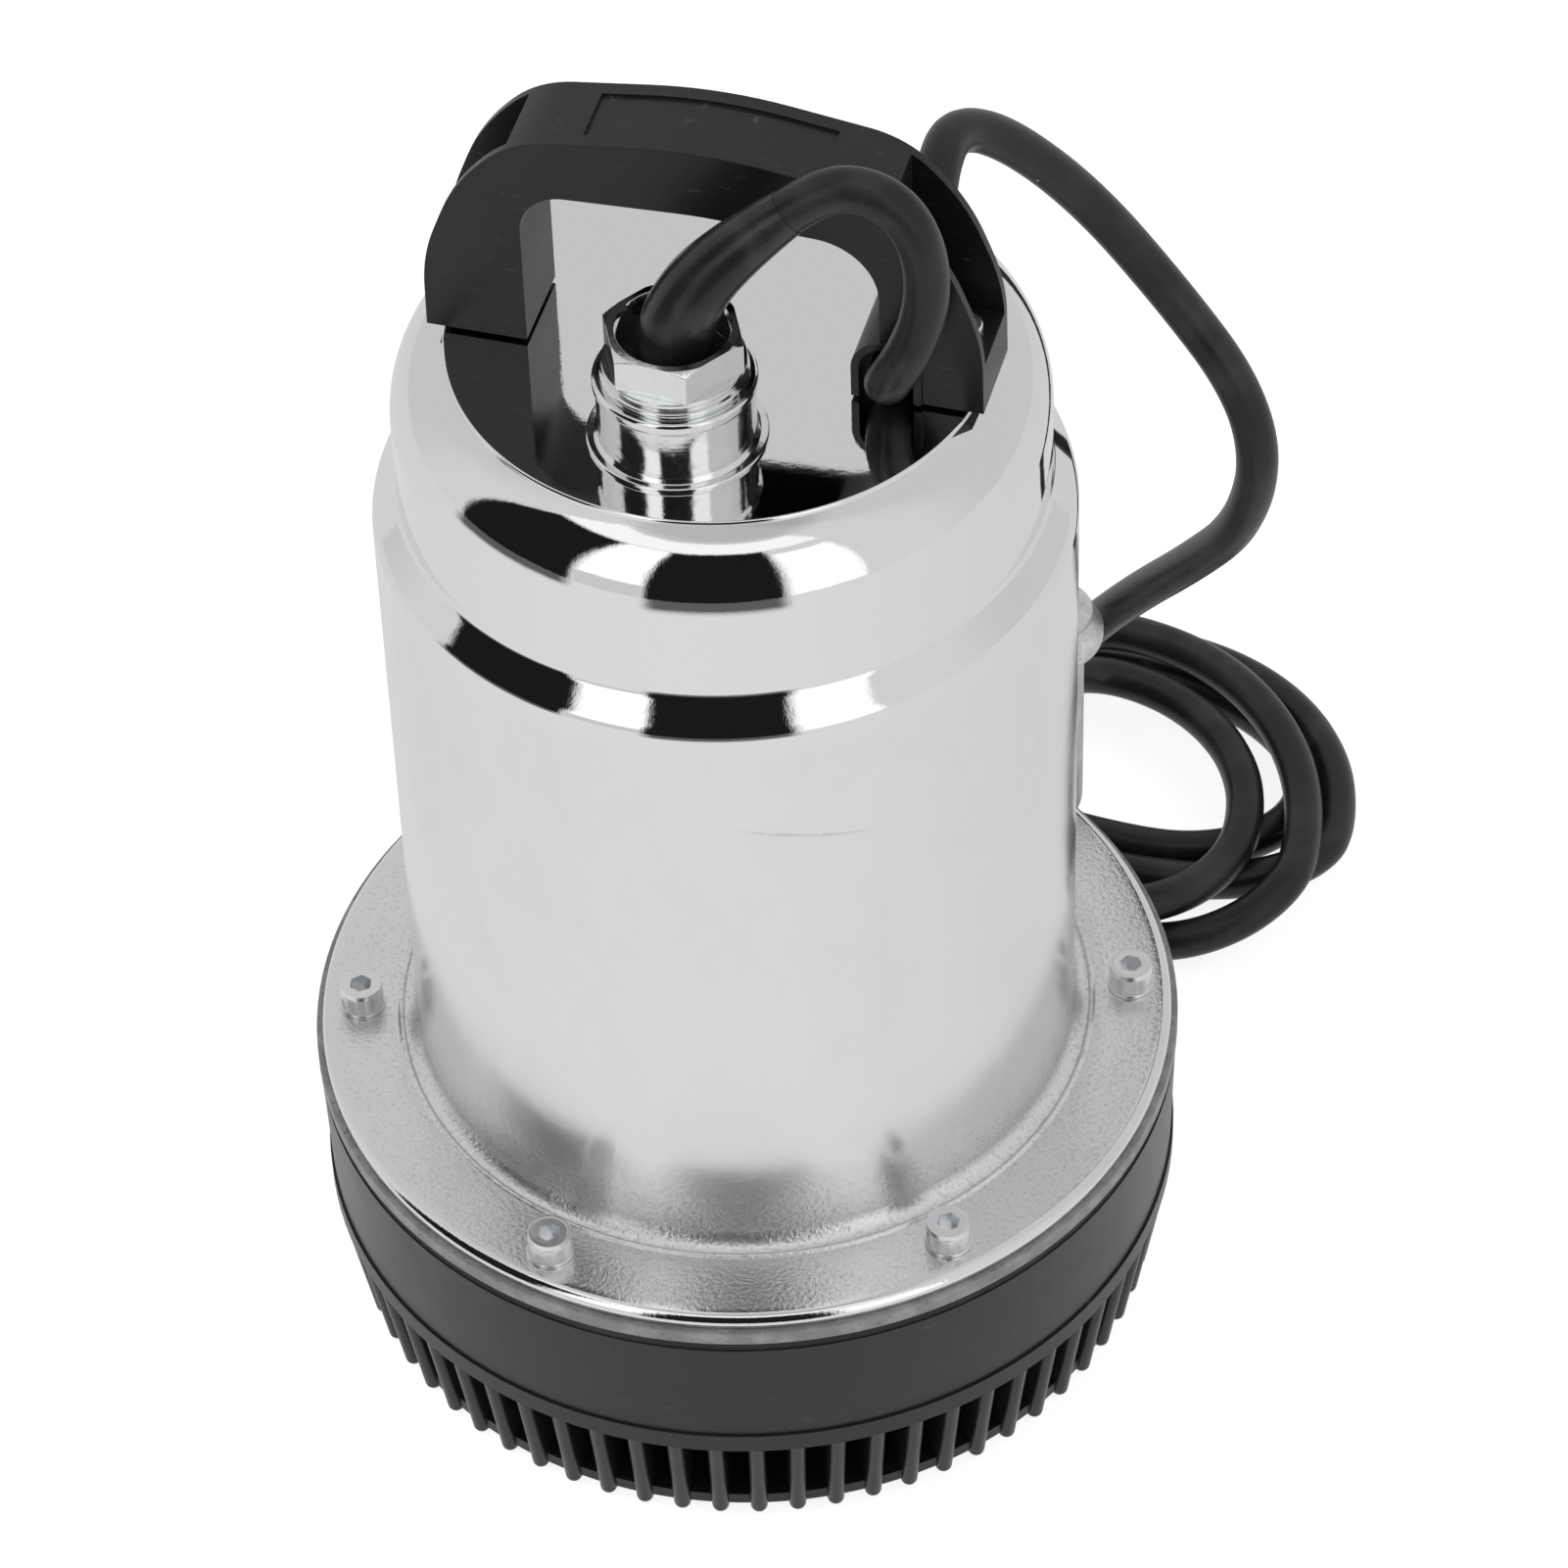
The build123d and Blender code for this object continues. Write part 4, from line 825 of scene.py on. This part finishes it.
@dataclass
class PowerCable:
    """The cable from its boot through the handle, down behind the pump and into its coil."""

    radius: float = 4.15 * MM
    boot_radius: float = 6.85 * MM
    length: float = 1.39
    steps: int = 4
    boot_route: tuple[tuple[float, float, float], ...] = (
        (0.0, -27.0, 245.5),
        (0.0, -27.0, 257.0),
        (0.6, -26.8, 266.0),
        (7.5, -24.3, 278.5),
        (19.5, -19.8, 288.0),
    )
    route: tuple[tuple[float, float, float], ...] = (
        (19.5, -19.8, 288.0),
        (25.5, -17.55, 292.75),
        (33.5, -16.4, 293.0),
        (40.0, -15.6, 287.5),
        (43.2, -15.3, 277.5),
        (42.8, -15.2, 266.0),
        (39.6, -15.2, 255.5),
        (35.4, -15.8, 248.0),
        (34.2, -9.0, 243.3),
        (34.2, 9.0, 243.3),
        (33.5, 24.0, 246.0),
        (31.0, 38.0, 253.0),
        (31.0, 51.0, 252.5),
        (38.5, 61.0, 243.5),
        (52.0, 71.0, 223.0),
        (68.0, 74.5, 199.0),
        (82.0, 72.5, 181.0),
        (87.0, 71.5, 163.0),
        (82.5, 75.5, 141.0),
        (70.5, 86.0, 119.0),
        (57.0, 98.0, 96.5),
        (44.0, 109.0, 73.0),
        (34.0, 119.0, 50.0),
        (26.5, 130.5, 32.5),
        (26.0, 144.5, 19.5),
    )
    coil: tuple[Quarter, ...] = (
        Quarter(Lay.ALONG_X, 36, 157, 12.8),
        Quarter(Lay.ALONG_Y, 77.4, 117, 12.4),
        Quarter(Lay.ALONG_X, 50, 87.5, 12.4),
        Quarter(Lay.ALONG_Y, 16, 125, 12.4),
        Quarter(Lay.ALONG_X, 38, 170, 14.2),
        Quarter(Lay.ALONG_Y, 91, 112, 12.5),
        Quarter(Lay.ALONG_X, 58, 86.5, 4.15),
        Quarter(Lay.ALONG_Y, 5, 124, 13.0),
        Quarter(Lay.ALONG_X, 40, 168, 4.15),
        Quarter(Lay.ALONG_Y, 86.5, 138, 4.15),
        Quarter(Lay.ALONG_X, 56, 115, 4.15),
        Quarter(Lay.ALONG_Y, -3.5, 140, 4.15),
        Quarter(Lay.ALONG_X, 46, 177, 4.15),
        Quarter(Lay.ALONG_Y, 95.4, 129, 4.15),
        Quarter(Lay.ALONG_X, 58, 106.5, 4.15),
    )
    tail: tuple[tuple[float, float, float], ...] = (
        (40.0, 107.5, 4.15),
        (22.0, 110.5, 4.15),
        (2.0, 112.0, 4.15),
        (-14.0, 103.5, 4.15),
        (-30.0, 102.0, 4.15),
        (-42.0, 108.5, 5.1),
        (-47.0, 122.0, 5.1),
    )

    def turns(self) -> list[tuple[float, float, float]]:
        """The coil's points: each quarter is part of an ellipse between two extreme points."""
        points = []
        for here, there in zip(self.coil, self.coil[1:]):
            for index in range(self.steps):
                swing = math.pi / 2 * index / self.steps
                early, late = math.sin(swing), 1 - math.cos(swing)
                over_x, over_y = (early, late) if here.lay is Lay.ALONG_X else (late, early)
                points.append((
                    here.x + (there.x - here.x) * over_x,
                    here.y + (there.y - here.y) * over_y,
                    here.z + (there.z - here.z) * early**2,
                ))
        last = self.coil[-1]
        points.append((last.x, last.y, last.z))
        return points

    def tube(
        self, name: str, points: Sequence[tuple[float, float, float]], radius: float
    ) -> bpy.types.Object:
        """A round flexible tube on one smooth curve.

        Args:
            name: the piece's name.
            points: the curve's control points, in millimetres.
            radius: the tube's radius.

        Returns:
            The curve object.
        """
        curve = bpy.data.curves.new(name, "CURVE")
        curve.dimensions = "3D"
        curve.bevel_depth = radius
        curve.bevel_resolution = 8
        curve.resolution_u = 10
        curve.use_fill_caps = True
        spline = curve.splines.new("NURBS")
        spline.points.add(len(points) - 1)
        for spot, point in zip(spline.points, points):
            spot.co = (*(Vector(point) * MM), 1)
        spline.order_u = 3
        spline.use_endpoint_u = True
        piece = bpy.data.objects.new(name, curve)
        bpy.context.scene.collection.objects.link(piece)
        return piece

    def boot(self) -> bpy.types.Object:
        """The tapered strain relief, thick in the gland and slim where the cable leaves it."""
        piece = self.tube("strain_relief_sleeve", self.boot_route, self.boot_radius)
        spots = piece.data.splines[0].points
        slim = (self.radius + 0.15 * MM) / self.boot_radius
        for spot, share in zip(spots, (1.0, 1.0, 0.99, 0.86, slim)):
            spot.radius = share
        only(piece)
        bpy.ops.object.convert(target="MESH")
        return smoothed(settle(piece, BOOT_RUBBER, "cable_rubber", "strain_relief_boot"))

    def cable(self) -> None:
        """The cable itself, with its coil, ending in the sleeve where it splits."""
        points = [*self.route, *self.turns(), *self.tail]
        piece = self.tube("power_cable", points, self.radius)
        settle(piece, CABLE_RUBBER, "cable_rubber", "power_cord", "cord_coil", "cord_tail")
        self.boot()

    def leads(self) -> None:
        """The two short leads from the sleeve to their ring terminals."""
        for name, finish, slot in (
            ("positive", RED_RUBBER, "lead_positive"),
            ("negative", CABLE_RUBBER, "lead_negative"),
        ):
            self.lead(name, finish, slot)

    def lead(self, name: str, finish: Finish, slot: str) -> None:
        """One lead, on the line of its frame node."""
        way = (Vector(self.tail[-1]) - Vector(self.tail[-2])).normalized()
        side = 1 if name == "positive" else -1
        across = way.cross(Vector((0, 0, 1)))
        start = Vector(self.tail[-1]) + way * 16 + across * (side * 2.2)
        start.z = 3.1
        points = [start, start + way * 15, start + way * 30 + across * (side * 10)]
        piece = self.tube(f"{name}_lead", [tuple(point) for point in points], 1.9 * MM)
        settle(piece, finish, slot, f"lead_{name}")
        start * MM

    def build(self) -> None:
        """Lay the cable and dress what is on it."""
        self.cable()
        self.leads()
        dress(BOOT_RUBBER, "cord_breakout")
        dress(TIN, "ring_terminal_positive", "ring_terminal_negative")


# ------------------------------------------------------------------ motor can and gland


@dataclass
class MotorCan:
    """The drawn steel can: flat cap, round shoulder, step, side, flare and flange."""

    body_radius: float = 65.5 * MM
    neck_radius: float = 60.6 * MM
    neck_height: float = 32.4 * MM
    step_height: float = 6.0 * MM
    cap_radius: float = 50.0 * MM
    cap_edge: float = 0.8 * MM
    shoulder: float = 15.5 * MM
    wall: float = 1.2 * MM
    flare: float = 3.5 * MM
    bead_radius: float = 69.0 * MM
    bead: float = 0.6 * MM
    rim: float = 2.0 * MM

    def outline(self) -> list[Vector]:
        """The can's section, down the outside and back up the inside."""
        step_top = CAP_TOP - self.neck_height
        step_bottom = step_top - self.step_height
        run = self.cap_radius - self.neck_radius + self.shoulder
        drop = self.shoulder - math.sqrt(self.shoulder**2 - run**2)
        outside = [
            (0, CAP_TOP, 0),
            (self.cap_radius, CAP_TOP, 0.5 * MM),
            (self.cap_radius + 0.15 * MM, CAP_TOP - drop, 0),
        ]
        start = math.acos((self.cap_radius - self.neck_radius + self.shoulder) / self.shoulder)
        for index in range(1, 15):
            angle = start * (1 - index / 14)
            radius = self.neck_radius - self.shoulder + self.shoulder * math.cos(angle)
            outside.append((radius, CAP_TOP - self.shoulder + self.shoulder * math.sin(angle), 0))
        outside += [
            (self.neck_radius, step_top, 3 * MM),
            (self.body_radius, step_bottom, 5 * MM),
            (self.body_radius, FLANGE_TOP + 60 * MM, 0),
            (self.body_radius, FLANGE_TOP, self.flare),
            (self.bead_radius - 1.2 * self.bead, FLANGE_TOP, 0.2 * MM),
            (self.bead_radius, FLANGE_TOP + self.bead, 0.5 * MM),
            (self.bead_radius + 1.2 * self.bead, FLANGE_TOP, 0.2 * MM),
            (FLANGE_RADIUS, FLANGE_TOP, self.rim),
            (FLANGE_RADIUS, FLANGE_BOTTOM, 0.3 * MM),
            (self.body_radius - self.wall, FLANGE_BOTTOM, 0),
            (self.body_radius - self.wall, step_bottom - 2 * MM, 3 * MM),
            (self.neck_radius - 2 * self.wall, step_top, 2 * MM),
            (self.neck_radius - 2 * self.wall, CAP_TOP - 2 * self.wall, 14 * MM),
            (0, CAP_TOP - 2 * self.wall, 0),
        ]
        return rounded(outside, 7)

    def build(self) -> None:
        """Turn the can and dress it."""
        settle(turned("motor_can", self.outline(), sides=180), POLISHED, "polished_steel", "motor_shell")


@dataclass
class CableGland:
    """The gland on the cap: a welded boss, a grooved collar, a hexagonal nut and a grommet."""

    boss_radius: float = 14.3 * MM
    boss_height: float = 14.5 * MM
    foot_radius: float = 16.4 * MM
    bore: float = 8.4 * MM
    collar_radius: float = 13.4 * MM
    collar_height: float = 3.4 * MM
    nut_bore: float = 9.8 * MM

    def boss(self) -> None:
        """The boss, with its weld fillet and rolled upper rim."""
        top = CAP_TOP + self.boss_height
        section = rounded([
            (self.bore, CAP_TOP - 0.3 * MM, 0),
            (self.foot_radius, CAP_TOP - 0.3 * MM, 0),
            (self.foot_radius, CAP_TOP + 0.8 * MM, 0.5 * MM),
            (self.boss_radius + 0.7 * MM, CAP_TOP + 0.9 * MM, 0.4 * MM),
            (self.boss_radius, CAP_TOP + 1.7 * MM, 0.5 * MM),
            (self.boss_radius, top - 2.6 * MM, 0.5 * MM),
            (self.boss_radius + 0.5 * MM, top - 1.9 * MM, 0.4 * MM),
            (self.boss_radius + 0.5 * MM, top, 0.8 * MM),
            (self.bore, top, 0),
        ])
        boss = turned("gland_boss_turned", section, GLAND_CENTRE, 96)
        settle(boss, GLAND_CHROME, "polished_steel", "gland_boss")

    def collar(self) -> None:
        """The clamp collar with its groove."""
        low = CAP_TOP + self.boss_height
        high = low + self.collar_height
        section = rounded([
            (self.nut_bore - 2 * MM, low - 6 * MM, 0),
            (self.bore - 0.2 * MM, low - 6 * MM, 0),
            (self.bore - 0.2 * MM, low, 0),
            (self.collar_radius, low, 0.3 * MM),
            (self.collar_radius, low + 1.2 * MM, 0.4 * MM),
            (self.collar_radius - 0.9 * MM, low + 1.6 * MM, 0.2 * MM),
            (self.collar_radius - 0.9 * MM, low + 2.1 * MM, 0.2 * MM),
            (self.collar_radius - 0.4 * MM, low + 2.5 * MM, 0.2 * MM),
            (self.collar_radius - 0.4 * MM, high, 0.2 * MM),
            (self.nut_bore, high, 0),
            (self.nut_bore, low + 1 * MM, 0),
            (self.nut_bore - 2 * MM, low + 1 * MM, 0),
        ])
        collar = turned("gland_collar_turned", section, GLAND_CENTRE, 96)
        settle(collar, GLAND_CHROME, "gland_steel", "gland_collar")

    def build(self) -> None:
        """Make the gland's four pieces."""
        self.boss()
        self.collar()
        nut = eased("gland_hex_nut", "gland_nut", 0.35 * MM, 3, 25)
        settle(nut, GLAND_CHROME, "gland_steel", "gland_nut")
        dress(GASKET_RUBBER, "gland_grommet")


# ------------------------------------------------------------------ handle


@dataclass
class CarryingHandle:
    """The moulded handle with its two foot screws."""

    edge: float = 0.9 * MM
    foot_gap: float = 0.8 * MM

    def build(self) -> None:
        """Ease the moulding's edges and dress the screws."""
        handle = eased("carrying_handle", "handle", self.edge, 3, 35)
        with editing(handle):
            pick_faces(handle, lambda face: face.calc_center_median().z < CAP_TOP + 0.4 * MM)
            bpy.ops.transform.translate(value=(0, 0, self.foot_gap))
        settle(handle, HANDLE_PLASTIC, "black_plastic", "handle")
        screws = eased("handle_foot_screws", "handle_screws", 0.4 * MM, 2, 50)
        settle(screws, ZINC, "zinc_steel", "handle_screws")
        dress(ZINC, "handle_weld_nuts")


# ------------------------------------------------------------------ flange


@dataclass
class FlangeScrews:
    """Six socket cap screws with knurled heads, on washers."""

    count: int = 6
    first_angle: float = 16.0
    circle: float = 76.8 * MM
    head_radius: float = 4.25 * MM
    head_height: float = 5.0 * MM
    socket: float = 4.0 * MM
    shank: float = 2.5 * MM
    knurls: int = 40

    def head(self) -> bpy.types.Object:
        """One head at the origin, standing on its underside."""
        only()
        bpy.ops.mesh.primitive_cylinder_add(
            vertices=2 * self.knurls,
            radius=self.head_radius - 0.1 * MM,
            depth=self.head_height,
            location=(0, 0, self.head_height / 2),
        )
        piece = named("socket_screw")
        bpy.ops.object.transform_apply(location=True, rotation=True, scale=True)
        step = math.tau / (2 * self.knurls)
        with editing(piece):
            bpy.ops.mesh.bisect(plane_co=(0, 0, self.head_height - 1.1 * MM), plane_no=(0, 0, 1))
            pick_faces(piece, lambda face: self.is_knurl(face, step))
            bpy.ops.mesh.inset(use_individual=True, thickness=0.07 * MM, depth=0.11 * MM)
            pick_faces(piece, lambda face: face.normal.z > 0.9)
            bpy.ops.mesh.inset(thickness=0.5 * MM, depth=0.0)
            bpy.ops.mesh.inset(thickness=0.25 * MM, depth=-0.12 * MM)
        corner = math.radians(50)
        modified(piece, "BEVEL", width=0.12 * MM, segments=2, limit_method="ANGLE", angle_limit=corner)
        only()
        bpy.ops.mesh.primitive_cylinder_add(
            vertices=6,
            radius=self.socket / math.sqrt(3),
            depth=6 * MM,
            location=(0, 0, self.head_height + 0.4 * MM),
        )
        return cut(piece, named("socket_tool"))

    def is_knurl(self, face: bmesh.types.BMFace, step: float) -> bool:
        """Whether a face is every second one round the head's lower side."""
        centre = face.calc_center_median()
        if abs(face.normal.z) > 0.1 or centre.z > self.head_height - 1.1 * MM:
            return False
        return round(math.atan2(centre.y, centre.x) / step - 0.5) % 2 == 0

    def build(self) -> None:
        """Make one screw, copy it round the flange and ease the washers."""
        _, washer_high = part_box("flange_washers")
        screw_low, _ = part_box("flange_screws")
        head = self.head()
        only()
        length = washer_high.z - screw_low.z
        bpy.ops.mesh.primitive_cylinder_add(
            vertices=24, radius=self.shank, depth=length, location=(0, 0, -length / 2)
        )
        shank = named("screw_shank")
        bpy.ops.object.transform_apply(location=True, rotation=True, scale=True)
        modified(shank, "BEVEL", width=0.4 * MM, segments=1, limit_method="ANGLE")
        screw = smoothed(joined("socket_screw", [shank, head]), 28)
        moves = []
        for index in range(self.count):
            angle = math.radians(self.first_angle + 360 * index / self.count)
            spot = Vector((self.circle * math.cos(angle), self.circle * math.sin(angle), washer_high.z))
            moves.append(Matrix.Translation(spot) @ Matrix.Rotation(1.9 * angle, 4, "Z"))
        screws = joined("flange_socket_screws", copies(screw, moves))
        settle(screws, ZINC, "zinc_steel", "flange_screws")
        washers = eased("flange_plain_washers", "flange_washers", 0.18 * MM, 2, 50)
        settle(washers, ZINC, "zinc_steel", "flange_washers")


# ------------------------------------------------------------------ pump end


@dataclass
class PumpEnd:
    """Chamber plate, gasket, housing, strainer and discharge pipe."""

    def build(self) -> None:
        """Ease the mouldings and castings, and dress what they hold."""
        plate = eased("chamber_plate_casting", "chamber_plate", 0.5 * MM, 2, 50)
        settle(plate, CAST_GREY, "cast_grey", "chamber_plate")
        housing = eased("pump_housing", "volute_housing", 0.6 * MM, 3, 50)
        settle(housing, HOUSING_PLASTIC, "black_plastic", "volute_housing")
        pipe = eased("discharge_elbow", "discharge_pipe", 0.4 * MM, 2, 38)
        settle(pipe, OUTLET_CAST, "cast_grey", "discharge_pipe")
        dress(HOUSING_PLASTIC, "strainer_basket")
        dress(GASKET_RUBBER, "flange_gasket", "flange_oring", "discharge_oring")
        dress(ZINC, "strainer_screws")
        dress(BRASS, "thread_inserts")
        dress(IMPELLER_PLASTIC, "impeller")
        dress(GROUND_STEEL, "impeller_nut", "impeller_key")
        dress(CERAMIC, "seal_head", "seal_seat")


@dataclass
class MotorInside:
    """The motor's own parts, which the can hides."""

    def build(self) -> None:
        """Dress the frame's motor parts."""
        races = [f"{end}_bearing_{piece}" for end in ("lower", "upper")
                 for piece in ("outer_race", "inner_race", "balls", "cage")]
        dress(GROUND_STEEL, "motor_shaft", *races)
        dress(DARK_IRON, "armature_core", "motor_yoke", "field_magnets")
        dress(COPPER_WIRE, "armature_winding")
        dress(COPPER, "commutator")
        dress(CABLE_RUBBER, "internal_leads")
        dress(DIE_CAST, "lower_end_shield", "upper_end_shield")
        dress(ZINC, "tie_bolts", "brush_spring_left", "brush_spring_right")
        dress(CARBON, "brush_left", "brush_right")
        dress(BRUSH_BOARD, "brush_holder")


# ------------------------------------------------------------------ assembly


def main() -> None:
    """Build the sub-assemblies in order, camera and cable first."""
    logging.basicConfig(level=logging.INFO, format="%(name)s %(message)s")
    Studio(aim=Vector((8.59 * MM, 2.57 * MM, 122.7 * MM))).build()
    for assembly in (
        PowerCable(),
        MotorCan(),
        CableGland(),
        CarryingHandle(),
        FlangeScrews(),
        PumpEnd(),
        MotorInside(),
    ):
        LOG.info("%s", type(assembly).__name__)
        assembly.build()


if __name__ == "__main__":
    main()
